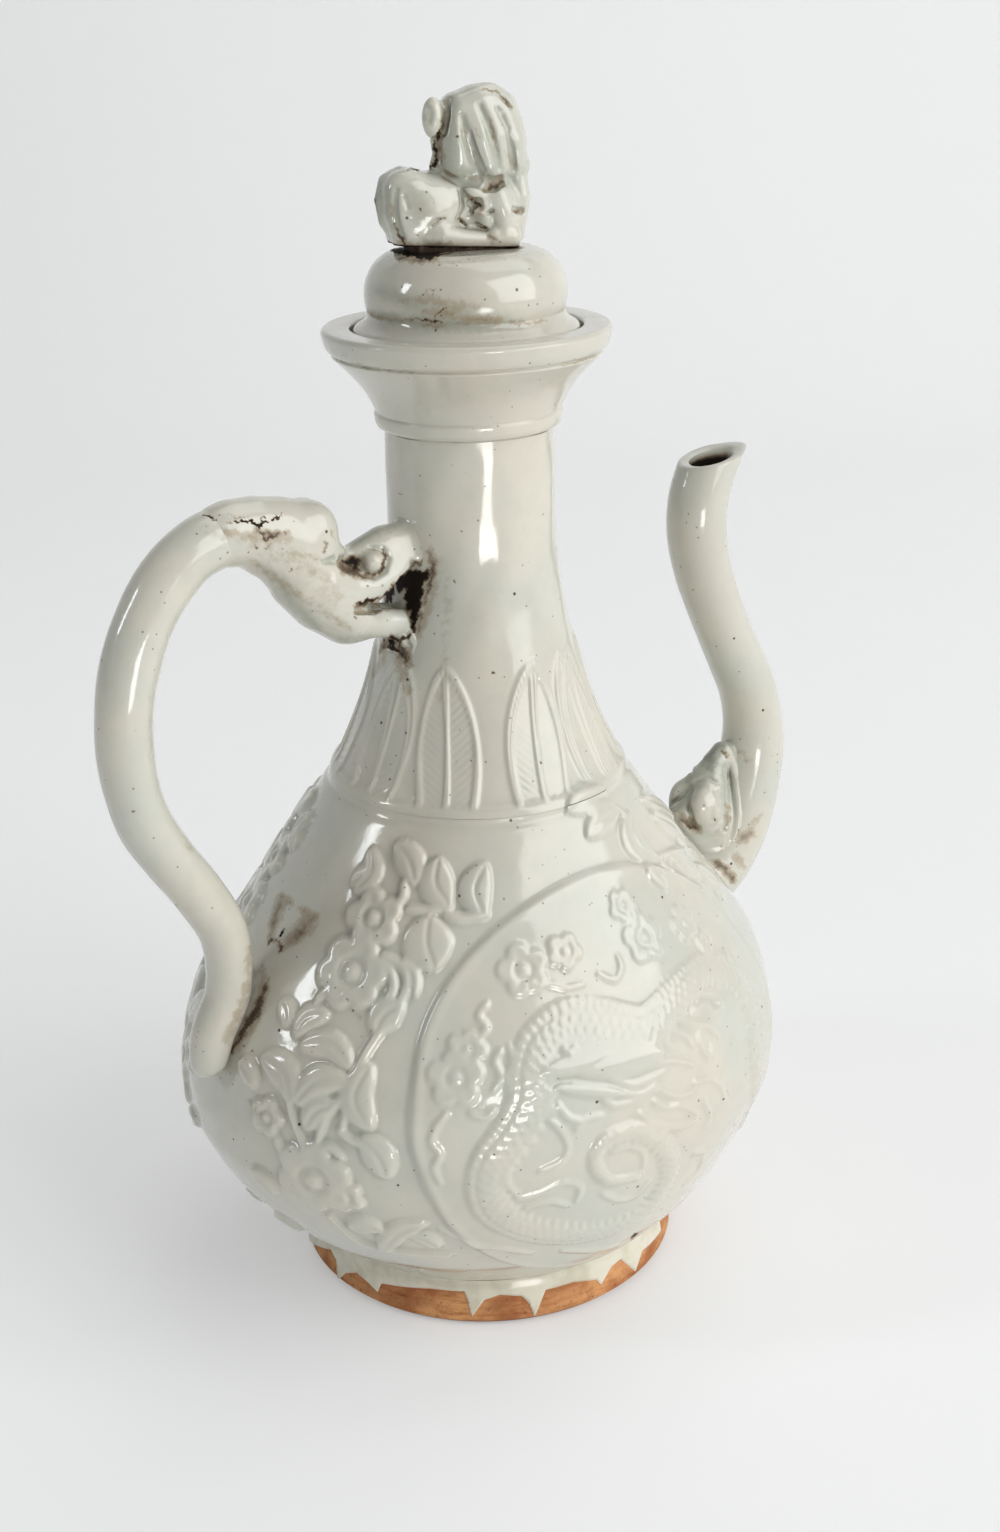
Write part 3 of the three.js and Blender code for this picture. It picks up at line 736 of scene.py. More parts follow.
def stamp_blossom(pixel, radius, petals, turn, height, heart_share=0.24):
    """Open blossom of round petals about a small heart, its radius in millimetres."""
    radius = radius * MM
    centre = on_wall([pixel])[0]
    for wall in walls:
        chosen = wall.near(centre[None], radius * blossom_reach_share)
        if not len(chosen):
            continue
        off = wall.points[chosen] - centre
        normal = wall.normals[chosen][np.argmin(np.linalg.norm(off, axis=1))]
        right = np.cross(UP, normal)
        right /= np.linalg.norm(right)
        u = off @ right
        v = off @ np.cross(normal, right)
        lift = np.zeros(len(chosen))
        for k in range(petals):
            angle = turn + 2 * math.pi * k / petals
            out = petal_place_share * radius
            share = np.hypot(u - out * math.cos(angle), v - out * math.sin(angle))
            share /= petal_radius_share * radius
            dent = petal_dent_share * bell(share * 2, 0, 1) * (share < 1)
            lift = np.maximum(lift, height * (dome(share) ** petal_power - dent))
        share = np.hypot(u, v) / radius
        groove = bell(share, heart_groove_share, heart_groove_width_share)
        lift -= heart_groove_depth_share * height * groove
        lift = np.maximum(lift, height * dome(share / heart_share) ** heart_power)
        wall.raise_to(chosen, lift)


# Panel dragon: rows of pixel column, pixel row and full width in millimetres
dragon_band = (
    (752, 1085, 5), (752, 1050, 6.5), (747, 1005, 7), (725, 972, 7), (697, 969, 7.5), (668, 998, 9),
    (640, 1026, 11), (600, 1020, 11.5), (565, 1020, 11), (538, 1042, 10.5), (528, 1070, 10),
    (526, 1100, 10), (510, 1130, 9.5), (488, 1160, 9), (483, 1190, 8.5), (500, 1216, 8), (540, 1230, 7.5),
    (590, 1230, 7), (635, 1212, 6.5), (662, 1182, 6), (668, 1157, 5.5), (656, 1137, 5), (628, 1129, 4.6),
    (602, 1140, 4.2), (592, 1160, 3.8), (606, 1177, 3.2), (634, 1173, 2.4))
dragon_height = 1 * MM
dragon_reach = 10 * MM
dragon_power = 0.55
back_edge_shares = (-0.55, -0.35)
spine_pitch = 3.1 * MM
spine_length = 2.6 * MM
spine_peak_share = 0.35
spine_height_share = 0.7
spine_start_share = 0.9
least_spine = 0.2 * MM
spine_half_widths = (1.4 * MM, 3 * MM)
scale_length = 2.7 * MM
scale_height = 0.38 * MM
scales_across = 2.1
scale_curve = 1.3
scale_power = 1.3
plate_power = 3
plate_length = 1.9 * MM
plate_depth = 0.35 * MM
belly_line_share = 0.45
belly_line_width_share = 0.08
body_edge_share = 0.96


def stamp_dragon():
    rows = smooth_line(dragon_band, 6)
    path = on_wall(rows[:, :2])
    sizes = np.concatenate([[0], np.cumsum(np.linalg.norm(np.diff(path, axis=0), axis=1))])
    for wall in walls:
        chosen, off, along, across, _ = wall.follow(path, dragon_reach)
        if not len(chosen):
            continue
        half = np.interp(along, sizes, rows[:, 2] * MM / 2)
        share = across / half
        within = off < half * body_edge_share
        lift = dragon_height * dome(share) ** dragon_power * (off < half)
        # Scales on the back, each row shifted by half a scale, and plates along the belly
        row = share * scales_across + 0.5
        place = np.floor(row)
        phase = along / scale_length + 0.5 * (place % 2) + scale_curve * (row - place - 0.5) ** 2
        on_back = step_edge(share, *back_edge_shares)
        lift += scale_height * ((phase % 1) ** scale_power - 0.5) * on_back * within
        plate = np.abs((along / plate_length) % 1 - 0.5) * 2
        lift -= plate_depth * plate ** plate_power * (1 - on_back) * within
        lift -= plate_depth * bell(share, -belly_line_share, belly_line_width_share) * (off < half)
        # Spines stand on the outer side of every bend, which is the same side all along
        tooth = (along / spine_pitch) % 1
        point = (1 - np.abs(tooth - spine_peak_share) / (1 - spine_peak_share)).clip(0, 1)
        spine = spine_length * point * step_edge(half, *spine_half_widths)
        out = np.clip((across - half) / np.maximum(spine, 1e-6), 0, 1)
        edge = spine_height_share * dragon_height * (1 - out ** 2) * (spine > least_spine)
        outer = (across > 0) & (across < half + spine) & (across >= half * spine_start_share)
        wall.raise_to(chosen, np.where(outer, np.maximum(lift, edge), lift))


# Blossoms: pixel, radius in millimetres, number of petals and turn
panel_flowers = (
    ((522, 970), 6.6, 5, 0.5), ((562, 952), 4.8, 5, 1), ((640, 938), 6.8, 5, 0.2), ((619, 906), 4.6, 5, 0.9),
    ((680, 924), 5.2, 5, 0.4), ((455, 1078), 7, 5, 0.3), ((466, 1050), 5, 5, 1.2), ((700, 942), 3.6, 5, 0.1),
    ((726, 962), 3.2, 5, 0.5))
# Leaf shapes of the panel dragon's head: two pixels, half width and height in millimetres, and fullness
dragon_head_forms = (
    ((660, 1052), (556, 1062), 5.2, 1.15, 0.5), ((604, 1052), (540, 1072), 2.8, 1.35, 0.4),
    ((622, 1092), (552, 1086), 1.7, 1, 0.4))
dragon_eye_pixel = (567, 1052)
panel_lines = (
    # Horns, mane and beard
    ((598, 1046), (622, 1036), (648, 1036), (668, 1046)),
    ((612, 1062), (640, 1066), (668, 1060), (690, 1064)),
    ((606, 1076), (630, 1084), (646, 1078), (662, 1070)), ((618, 1092), (640, 1092), (652, 1082)),
    ((600, 1098), (612, 1104), (630, 1100), (645, 1090)), ((552, 1090), (546, 1100), (552, 1112)),
    # Foreleg and claws under the head
    ((640, 1092), (655, 1088), (672, 1094), (690, 1090)),
    ((650, 1100), (664, 1106), (678, 1104), (694, 1112)),
    ((636, 1112), (652, 1122), (672, 1126), (690, 1120)), ((700, 1100), (706, 1114), (700, 1126)),
    ((690, 1082), (704, 1078), (716, 1084), (720, 1098)),
    # Claws inside the upper loop
    ((682, 1000), (694, 993), (708, 994), (716, 1004)),
    ((690, 1012), (700, 1004), (708, 1012), (718, 1006)),
    ((676, 1018), (690, 1024), (704, 1026), (714, 1036)),
    ((696, 1034), (698, 1048), (706, 1056), (708, 1044)), ((664, 1030), (680, 1034), (690, 1046)),
    # Flames and cloud beside the left bend
    ((548, 1118), (560, 1130), (566, 1146), (558, 1160), (538, 1168)),
    ((556, 1104), (566, 1116), (580, 1120)), ((520, 1148), (508, 1162), (506, 1180), (516, 1192)),
    ((516, 1196), (540, 1190), (562, 1180), (578, 1184), (574, 1198)),
    ((524, 1204), (548, 1198), (566, 1202)), ((600, 1190), (616, 1196), (632, 1192), (646, 1178)),
    ((610, 1150), (626, 1144), (640, 1150), (640, 1164)), ((574, 1128), (584, 1118), (600, 1114)),
    # Waves down the panel's left side
    ((446, 1112), (436, 1126), (432, 1140), (440, 1152), (434, 1166), (440, 1180)),
    ((500, 1050), (494, 1062), (500, 1076), (492, 1090)),
    ((508, 1046), (512, 1062), (506, 1078), (512, 1096)),
    ((486, 1004), (478, 1016), (486, 1028), (476, 1040)), ((530, 990), (548, 984), (566, 988), (582, 984)),
    ((596, 974), (612, 980), (618, 968), (614, 956)), ((470, 1112), (484, 1116), (494, 1108)),
    ((440, 1228), (470, 1240), (500, 1244), (530, 1248)), ((560, 1246), (590, 1246), (616, 1240)),
    ((690, 1150), (704, 1146), (716, 1134)), ((680, 1180), (694, 1166), (700, 1150)))

# Flower sprays between handle and panel: rows of two pixels, half width in millimetres and bend
spray_leaves = (
    ((396, 842), (416, 884), 4, 0.1), ((440, 858), (450, 906), 4.6, -0.18),
    ((486, 864), (484, 916), 4.2, -0.2), ((430, 916), (436, 970), 6.5, -0.1),
    ((372, 848), (356, 892), 3.2, 0.2), ((376, 868), (352, 884), 2.8, 0),
    ((376, 1034), (404, 1004), 4.4, 0.15), ((372, 1064), (372, 1130), 4.6, -0.25),
    ((360, 1136), (388, 1178), 4.4, 0.1), ((296, 1104), (350, 1080), 4, 0.2),
    ((262, 1056), (292, 1104), 4.4, 0.2), ((300, 1046), (352, 1068), 3.6, 0.25),
    ((282, 1000), (288, 1026), 3, 0.1), ((296, 1036), (330, 1014), 3.4, 0.2),
    ((350, 1226), (384, 1228), 4, 0.1), ((382, 1248), (428, 1222), 3.6, 0.15),
    ((306, 1130), (338, 1104), 3.6, 0.2), ((252, 1170), (276, 1192), 3.4, 0.1),
    ((408, 1234), (440, 1246), 3, 0.1), ((240, 1060), (256, 1088), 3.2, 0.1),
    ((270, 1216), (300, 1236), 3, 0.1))
spray_flowers = (
    ((374, 918), 7.6, 5, 0.6), ((352, 972), 9.5, 6, 0.2), ((314, 1178), 10.5, 6, 0.4),
    ((268, 1116), 5.2, 5, 0.1), ((346, 1196), 5, 5, 0.8))
spray_lines = (
    ((450, 906), (430, 910), (408, 908)), ((486, 914), (462, 918), (446, 914)),
    ((404, 884), (404, 896), (396, 906)), ((384, 956), (402, 966), (408, 984), (400, 1004)),
    ((376, 958), (390, 970), (394, 988), (386, 1002)),
    ((402, 1004), (378, 1036), (362, 1062), (352, 1090), (342, 1130)),
    ((352, 1090), (330, 1110), (318, 1140)), ((290, 1104), (298, 1130), (308, 1150)),
    ((340, 1130), (352, 1140), (364, 1142)), ((330, 1214), (360, 1240), (400, 1250), (450, 1254)),
    ((318, 1000), (332, 988), (350, 990)), ((278, 1138), (284, 1152), (296, 1160)),
    ((312, 1148), (330, 1146), (344, 1158)), ((404, 962), (416, 974), (416, 994)))

# Leaves and stems beside the spout, in the same kinds of rows
spout_leaves = (
    ((566, 812), (612, 800), 4, 0.15), ((586, 838), (616, 812), 3.6, 0.1),
    ((628, 812), (650, 862), 4.6, -0.15), ((650, 816), (684, 850), 4.6, 0.15),
    ((668, 858), (700, 880), 4, 0.1), ((640, 800), (672, 818), 3.6, 0.1), ((640, 868), (662, 892), 3, 0.1),
    ((694, 868), (722, 900), 3.6, 0.1))
spout_stems = (
    ((612, 806), (634, 826), (648, 850), (668, 872)), ((650, 862), (672, 852), (690, 850)))
panel_flower_height = 0.85 * MM
dragon_eye_height = 1.5 * MM
panel_line_half_width = 1 * MM
panel_line_height = 0.62 * MM
spray_leaf_height = 1.5 * MM
spray_flower_height = 1.7 * MM
spray_line_half_width = 1.3 * MM
spray_line_height = 1.3 * MM
spout_leaf_height = 1.3 * MM
spout_stem_half_width = 1.1 * MM
spout_stem_height = 1.1 * MM


def stamp_ornament():
    stamp_dragon()
    for row in panel_flowers:
        stamp_blossom(*row, panel_flower_height)
    for first, last, half_width, height, full in dragon_head_forms:
        stamp_leaf(first, last, half_width * MM, height * MM, 0, full)
    stamp_blossom(dragon_eye_pixel, 2.6, 3, 0.4, dragon_eye_height, 0.5)
    stamp_lines(panel_lines, panel_line_half_width, panel_line_height)
    stamp_leaves(spray_leaves, spray_leaf_height)
    for row in spray_flowers:
        stamp_blossom(*row, spray_flower_height)
    stamp_lines(spray_lines, spray_line_half_width, spray_line_height)
    stamp_leaves(spout_leaves, spout_leaf_height)
    stamp_lines(spout_stems, spout_stem_half_width, spout_stem_height)


# Plantain leaves that stand round the neck's foot, shifted and leaning by degrees as if cut by hand
lappet_first = math.radians(-137)
lappet_low = shoulder_height + 2.4 * MM
lappet_high = shoulder_height + 34.5 * MM
lappet_half_width = 8.6 * MM
lappet_shifts = (0, 3, 2, 0, 1, -1, 2, 0, -1, 1)
lappet_leans = (-6, 8, 4, -5, 5, -3, 6, -4, 3, -2)
lappet_reach = 10 * MM
lappet_lean_power = 1.5
lappet_power = 2.6
lappet_tip_power = 0.6
lappet_belly_share = 0.12
rim_height = 0.6 * MM
rim_place = 0.8 * MM
rim_width = 0.7 * MM
rim_outside = 1 * MM
field_edges = (0.4 * MM, 1.6 * MM)
field_height = 0.12 * MM
hatch_height = 0.13 * MM
hatch_pitch = 2.1 * MM
hatch_slant = 0.9
rib_height = 0.7 * MM
rib_width = 0.65 * MM
rib_edge = 1 * MM
rib_end_shares = (0.97, 0.85)


def stamp_lappets():
    for k, (shift, lean) in enumerate(zip(lappet_shifts, lappet_leans)):
        start = lappet_first + 2 * math.pi * k / len(lappet_shifts) + math.radians(shift)
        share = np.linspace(0, 1, 30)
        angle = start + math.radians(lean) * share ** lappet_lean_power
        height = lappet_low + (lappet_high - lappet_low) * share
        length, depth = wall_halves(height)
        path = np.stack([length * np.cos(angle), depth * np.sin(angle), height], axis=1)
        chosen, off, along, across, whole = neck.follow(path, lappet_reach)
        part = along / whole
        belly = 1 - lappet_belly_share + lappet_belly_share * np.sin(np.pi * part)
        half = lappet_half_width * (1 - part ** lappet_power).clip(0, 1) ** lappet_tip_power * belly
        inside = half - np.abs(across)
        inside = np.where((along <= 0) & (off > np.abs(across) + 1e-5), -1, inside)
        inside = np.where(along >= whole, -off, inside)
        rim = rim_height * bell(inside, rim_place, rim_width)
        hatch = np.cos(2 * np.pi * (along - np.abs(across) * hatch_slant) / hatch_pitch)
        lift = np.where(inside > -rim_outside, rim, 0)
        lift += step_edge(inside, *field_edges) * (field_height + hatch_height * hatch)
        rib = rib_height * bell(across, 0, rib_width) * step_edge(inside, 0, rib_edge)
        neck.raise_to(chosen, np.maximum(lift, rib * step_edge(part, *rib_end_shares)))


# Ring between body and neck, with a groove below it, and the hand-made wall's slow lumps
ring_height = 0.8 * MM
ring_place = shoulder_height + 1.3 * MM
ring_width = 1.1 * MM
groove_depth = 0.45 * MM
groove_place = shoulder_height - 1.4 * MM
groove_width = 1 * MM
lump_height = 0.12 * MM
# Waves of the lumps: turns round the wall, and radians for a metre of height
lump_waves = ((5, 60), (2, 130), (11, -210))
small_lump_share = 0.6


def beside_handle(wall):
    """1 on the back half between the handle and the outline of its panel."""
    x, y, _ = wall.points.T
    outside = panel_share(wall) > spray_clearance_share
    return step_edge(-x, -handle_band, handle_band) * outside * (y > 0)


def finish_relief(wall):
    """Copies the front's relief to the back, adds ground, ring and lumps, and melts it all."""
    grid = wall.relief.reshape(wall.shape)
    turned = np.roll(grid, columns // 2, axis=1)
    if wall is body:
        share = beside_handle(wall).reshape(wall.shape)
        turned = turned * (1 - share) + np.roll(grid[:, ::-1], 1, axis=1) * share
    grid = np.where(np.abs(turned) > np.abs(grid), turned, grid)
    wall.relief = grid.ravel() + panel_ground(wall)
    x, y, z = wall.points.T
    wall.relief += ring_height * bell(z, ring_place, ring_width)
    wall.relief -= groove_depth * bell(z, groove_place, groove_width)
    angle = np.arctan2(y, x)
    first, second, small = (np.sin(turns * angle + climb * z) for turns, climb in lump_waves)
    wall.relief += lump_height * (first * second + small_lump_share * small)
    wall.melt()


# Black painted shade in the dragon's gape, where the neck shows between the jaws, grey painted shade below
# it, and dark beard curls and specks
neck_dirt_and_shade = (
    (2.3, 3.5, (388, 594, 2), (396, 588, 5), (406, 581, 7), (414, 578, 8)),
    (2.3, 3.5, (414, 578, 8), (422, 577, 5), (427, 573, 3)),
    (2.3, 3.5, (415, 582, 8), (413, 596, 8), (411, 606, 5)),
    (2.3, 3.5, (416, 590, 7), (415, 608, 5), (414, 620, 3), (413, 632, 1)),
    (1.15, 4, (428, 552, 2), (432, 562, 4), (433, 573, 4), (428, 590, 3), (423, 606, 2)),
    (1, 4, (420, 612, 3), (421, 618, 3), (418, 632, 2)),
    (1.5, 2, (392, 640, 2), (393, 648, 1.5), (398, 652, 1)),
    (1.3, 2.2, (400, 642, 1.5), (402, 652, 1.5), (407, 661, 1.5)),
    (0.95, 5, (394, 646, 6), (404, 654, 7), (409, 665, 4)),
    (0.6, 9, (400, 662, 7), (406, 678, 7), (409, 692, 4)),
    (0.6, 8, (430, 548, 4), (436, 566, 5), (436, 580, 5), (428, 610, 5), (420, 636, 4)),
    (0.42, 14, (440, 560, 6), (448, 590, 8), (446, 640, 8), (440, 700, 6)), (1.7, 0.9, (494, 672, 2)),
    (1.5, 0.9, (455, 582, 1.2)), (1.4, 0.8, (499, 626, 0.9)), (1.5, 0.8, (392, 764, 1.1)),
    (1.3, 0.8, (512, 733, 0.9)), (1.4, 0.8, (540, 762, 1)), (1.3, 0.8, (459, 731, 0.8)),
    (1.3, 0.8, (402, 494, 0.9)))
# Dirt beside the handle's tail with painted shade where it meets the body, and pits and specks of the body
body_dirt_and_shade = (
    (1.3, 4, (255, 953, 3), (262, 946, 4), (270, 938, 3)), (1.3, 2.5, (280, 943, 2), (281, 951, 2.5)),
    (2.4, 0.9, (278, 935.5, 1.4), (282.5, 930, 2)), (1.8, 0.8, (259, 963, 0.8), (263, 963, 0.8)),
    (0.85, 9, (284, 946, 4), (294, 938, 7), (304, 928, 9), (313, 918, 6), (302, 910, 4)),
    (1.4, 4.5, (268, 980, 1), (262, 996, 3.5), (257, 1010, 5), (246, 1026, 4.5), (238, 1040, 3),
     (230, 1052, 2)),
    (0.6, 7, (262, 966, 4), (264, 990, 7), (254, 1022, 7), (236, 1048, 6)),
    (0.5, 7, (250, 1100, 4), (262, 1112, 5)), (0.45, 7, (352, 1010, 3), (360, 1020, 4)),
    (1.6, 0.9, (325, 875, 1.3)), (1.5, 0.9, (349, 1001, 1.2)), (1.5, 0.8, (243, 1046, 0.9)),
    (1.5, 0.9, (252, 1050, 1.2)), (1.6, 1, (630, 1234, 1.6), (634, 1229, 1.6)))

stamp_ornament()
stamp_lappets()
for wall in walls:
    finish_relief(wall)
body.build("relief_body", body_dirt_and_shade, ("body_front", "body_back"))
neck.build("relief_neck", neck_dirt_and_shade, ("neck",))


# Turned pieces, whose wobble has waves of a share, a count round the axis and a start
wobble_waves = ((1, 2, 1), (0.6, 3, 2.2))
corner_share = 0.45


def lathe(rows, sides=192, wobble=0):
    """Rings round the upright axis from rows of radius and height, not quite round by a share."""
    rows = np.array(rows, float)
    angles = np.linspace(-np.pi, np.pi, sides, endpoint=False)
    rings = np.zeros((len(rows), sides, 3))
    shake = 1 + wobble * sum(share * np.sin(count * angles + start) for share, count, start in wobble_waves)
    rings[..., 0] = rows[:, :1] * np.cos(angles) * shake
    rings[..., 1] = rows[:, :1] * np.sin(angles) * shake
    rings[..., 2] = rows[:, 1:]
    return rings


def rounded(rows, bend, steps=4):
    """Rounds each corner of a closed outline by its bend."""
    rows = [np.array(row, float) for row in rows]
    result = []
    for i, here in enumerate(rows):
        to_before = rows[i - 1] - here
        to_after = rows[(i + 1) % len(rows)] - here
        before_size = np.linalg.norm(to_before)
        after_size = np.linalg.norm(to_after)
        size = min(bend, before_size * corner_share, after_size * corner_share)
        a = here + to_before / before_size * size
        b = here + to_after / after_size * size
        for step in range(steps + 1):
            t = step / steps
            result.append(a * (1 - t) ** 2 + here * 2 * t * (1 - t) + b * t ** 2)
    return result


# Foot ring: bare clay with runs of glaze over its upper edge
glaze_edge_pixels = (
    (312, 1241), (330, 1250), (337, 1262), (340, 1279), (346, 1273), (356, 1273), (368, 1283), (378, 1292),
    (381, 1284), (430, 1290), (464, 1293), (468, 1302), (472, 1316), (484, 1301), (500, 1296), (522, 1297),
    (529, 1303), (534, 1316), (546, 1291), (575, 1283), (597, 1280), (601, 1285), (612, 1268), (622, 1260),
    (634, 1271), (642, 1252), (660, 1232))
foot_sides = 900
foot_rows = 70
foot_edge = 1.5 * MM
foot_round = 0.5 * MM
foot_outer_margin = 0.5 * MM
foot_sight_margin = 0.4 * MM
foot_sight_steps = 4000
foot_sight_shares = (0.6, 1.4)
# Hidden side: an uneven line, with runs given by angle, width and drop in millimetres
hidden_line = 8.2 * MM
hidden_waves = ((0.7 * MM, 3, 0.5), (0.4 * MM, 7, 2))
hidden_runs = ((0.5, 2.2, 4.5), (1.1, 1.6, 2.5), (1.7, 2.6, 5.5), (2.3, 1.5, 3))
glaze_edge = 0.6 * MM
glaze_thickness = 0.5 * MM
glaze_swell = (-0.2 * MM, 0.8 * MM)
glaze_fade = 3 * MM


def on_foot(x, y):
    """Turn and height where a pixel's sight line meets the foot's side."""
    ray = ray_through(x, y)
    steps = np.linspace(*foot_sight_shares, foot_sight_steps) * camera_distance
    line = eye + steps[:, None] * ray
    hit = np.argmax(np.hypot(line[:, 0], line[:, 1]) < foot_radius - foot_sight_margin)
    return math.atan2(line[hit, 1], line[hit, 0]), line[hit, 2]


def glaze_line(angles):
    """Height at each angle where the glaze ends: read from the photograph in front, made up behind."""
    line = hidden_line + sum(size * np.sin(angles * count + start) for size, count, start in hidden_waves)
    for angle, width, drop in hidden_runs:
        gap = np.angle(np.exp(1j * (angles - angle))) * foot_radius
        line = line - drop * MM * bell(gap, 0, width * MM)
    places = np.array([on_foot(x, y) for x, y in glaze_edge_pixels])
    places[places[:, 0] > 0, 0] -= 2 * np.pi
    places = places[np.argsort(places[:, 0])]
    first = places[0, 0]
    last = places[-1, 0]
    turned = np.where(angles > last, angles - 2 * np.pi, angles)
    seen = (turned > first) & (turned < last)
    return np.where(seen, np.interp(turned, places[:, 0], places[:, 1]), line)


def make_foot():
    inner = foot_radius - foot_wall
    corner = [(inner, 0), (foot_radius - foot_edge, 0), (foot_radius, foot_edge)]
    lower = [tuple(row) for row in rounded(corner, foot_round)[:-1]]
    slope = foot_top_radius - foot_radius
    upper = [(foot_radius + slope * t, foot_edge + (foot_height - foot_edge) * t)
             for t in np.linspace(0, 1, foot_rows)]
    rings = lathe([(inner, foot_height)] + lower + upper, foot_sides)
    line = glaze_line(np.linspace(-np.pi, np.pi, foot_sides, endpoint=False))
    height = rings[..., 2] - line[None, :]
    radius = np.hypot(rings[..., 0], rings[..., 1])
    outer = radius > foot_top_radius - foot_outer_margin
    glazed = np.where(outer, step_edge(height, -glaze_edge, glaze_edge), 0)
    thick = glaze_thickness * np.where(outer, step_edge(height, *glaze_swell), 0)
    fade = step_edge(foot_height - rings[..., 2], 0, glaze_fade)
    rings[..., :2] *= (1 + thick * fade / radius)[..., None]
    points, faces = closed_shell(rings)
    make_piece("clay_foot", points, faces, make_foot_material(), EWER, ("foot_ring",),
               {"glazed": glazed})


make_foot()

# Outside of the mouth: rows of height above the neck and radius in millimetres
mouth_rows = (
    (0.4, 21.4), (0.8, 22.4), (1.8, 23), (3, 23.2), (4, 23.2), (4.5, 22.9), (5, 23.1), (7, 24), (9.5, 25.4),
    (12, 27.2), (14.4, 29.4), (16.2, 31.2), (17.2, 32.2), (17.9, 32.9), (18.3, 33), (18.7, 32.7),
    (19, 33.2), (19.6, 34.1), (20.8, 34.7), (22.4, 35.1), (23.4, 35.3))
mouth_dirt = (
    (0.75, 1.2, (340, 352, 0.5), (352, 360, 0.8), (363, 367, 1.2), (380, 369, 0.8), (400, 371, 0.8),
     (425, 373, 0.4)),
    (0.75, 1.2, (560, 366, 0.6), (578, 362, 1), (596, 355, 0.8)),
    (0.4, 3, (400, 441, 1), (440, 444, 1), (500, 443, 1)))
ledge_height = mouth_high[2] - 3.6 * MM
ledge_outer = 28.2 * MM
ledge_inner = 23.4 * MM
throat_radius = 21.6 * MM
throat_drop = 9.2 * MM
rim_top_width = 0.7 * MM
rim_top_drop = 0.9 * MM
rim_slope = 0.1 * MM
rim_round = 0.8 * MM
mouth_wobble_share = 0.0012
mouth_sides = 256


def make_mouth():
    low = mouth_low[2]
    high = mouth_high[2]
    radius = mouth_high[0]
    flare = [(out * MM, low + up * MM) for up, out in spline_curve(mouth_rows, 5)]
    rim = [flare[-1], (radius, high - rim_top_drop), (radius - rim_top_width, high),
           (ledge_outer, high - rim_slope), (ledge_outer, ledge_height), (ledge_inner, ledge_height),
           (throat_radius, ledge_height - throat_drop), (neck_radius - neck_wall, low)]
    lip = [tuple(row) for row in rounded(rim, rim_round)[5:-5]]
    outline = [(neck_radius, low)] + flare[:-1] + lip + [rim[-1]]
    points, faces = closed_shell(lathe(outline, mouth_sides, mouth_wobble_share))
    marks = {"stain_and_shade": paint(points, mouth_dirt)}
    make_piece("flared_mouth", points, faces, glaze, EWER, ("mouth_cup",), marks=marks)


make_mouth()

# Lid
# Dark lines of dirt, black in the joint under the lion's base, and brown painted shade on the dome's lower
# side
lid_dirt_and_shade = (
    (1.7, 0.9, (410, 318, 0.3), (424, 320, 0.9), (434, 321, 1.1), (442, 322, 0.4)),
    (1.5, 0.9, (434, 320, 0.6), (438, 313, 0.8), (442, 310, 0.8), (449, 306, 0.2)),
    (0.9, 3, (424, 325, 1), (440, 327, 2), (447, 324, 1)),
    (0.8, 6, (446, 316, 2), (470, 319, 4), (500, 320, 3)),
    (0.6, 9, (400, 300, 4), (430, 300, 6), (452, 304, 6)),
    (0.9, 2, (372, 317, 1), (395, 320, 1), (412, 320, 1)),
    (0.5, 14, (428, 296, 4), (445, 306, 12), (475, 308, 8)), (0.75, 7, (426, 312, 4), (452, 314, 5)),
    (0.6, 6, (364, 306, 2), (370, 314, 3), (382, 317, 2)),
    (0.75, 3, (512, 323, 2), (530, 323, 2), (548, 320, 1)),
    (0.5, 3, (456, 323, 2), (480, 324, 2), (505, 323, 2)),
    (0.9, 0.7, (425, 293, 0.5), (429, 288, 0.5), (434, 291, 0.6), (433, 297, 0.5)),
    (2.4, 2, (394, 250, 2), (404, 252, 3.5), (414, 254, 3), (428, 256, 4), (440, 253, 2)),
    (1, 4, (398, 258, 3), (420, 261, 3), (436, 259, 3)),
    (2.2, 1.4, (440, 252, 2), (470, 250, 1.6), (500, 248, 1.4), (518, 246, 1.2)),
    (0.45, 7, (440, 264, 3), (480, 260, 3), (520, 258, 2)))
# Painted shade on the dome's lower side, where it curves under
lid_shade = (
    (1.35, 10, (368, 312, 2), (390, 318, 4), (430, 322, 6), (480, 324, 6), (520, 324, 2)),
    (1.05, 16, (378, 290, 4), (420, 306, 8), (470, 314, 6), (505, 318, 2)))
lid_base = dome_low[2]
lid_top = dome_high[2]
lid_flange = dome_high[0]
lid_waist = 23.8 * MM
lid_waist_height = lid_base + 6.6 * MM
lid_bulge = 24.5 * MM
lid_crown = 15.5 * MM
lid_first_turn = -math.pi / 8
lid_side_rows = 60
lid_sides = 512
lid_wobble_share = 0.001
# The flange sweeps up into the dome: rows of radius and height
lid_sweep = (
    (lid_flange, lid_base + 2.7 * MM), (lid_flange - 0.5 * MM, lid_base + 3.3 * MM),
    (lid_flange - 1.5 * MM, lid_base + 3.9 * MM), (lid_flange - 2.6 * MM, lid_base + 4.7 * MM),
    (lid_waist + 0.25 * MM, lid_base + 5.7 * MM), (lid_waist, lid_waist_height - 0.2 * MM))
# Flange below it, and the crown with the hollow inside
lid_flange_rows = ((17 * MM, lid_base), (lid_flange - 0.6 * MM, lid_base), (lid_flange, lid_base + 0.7 * MM))
lid_crown_rows = (
    (lid_crown * 0.7, lid_top), (0.3 * MM, lid_top), (0.3 * MM, lid_top - 4 * MM),
    (13 * MM, lid_top - 4.4 * MM), (17 * MM, lid_top - 8 * MM))
collar_wall = 3.5 * MM
collar_round = 0.7 * MM
collar_sides = 128
near_side_fade = 8 * MM


def near_side(points):
    """1 where a round piece faces the photograph's camera, 0 behind."""
    ahead = points[:, 0] * eye_forward[0] + points[:, 1] * eye_forward[1]
    return step_edge(-ahead, -near_side_fade, 0)


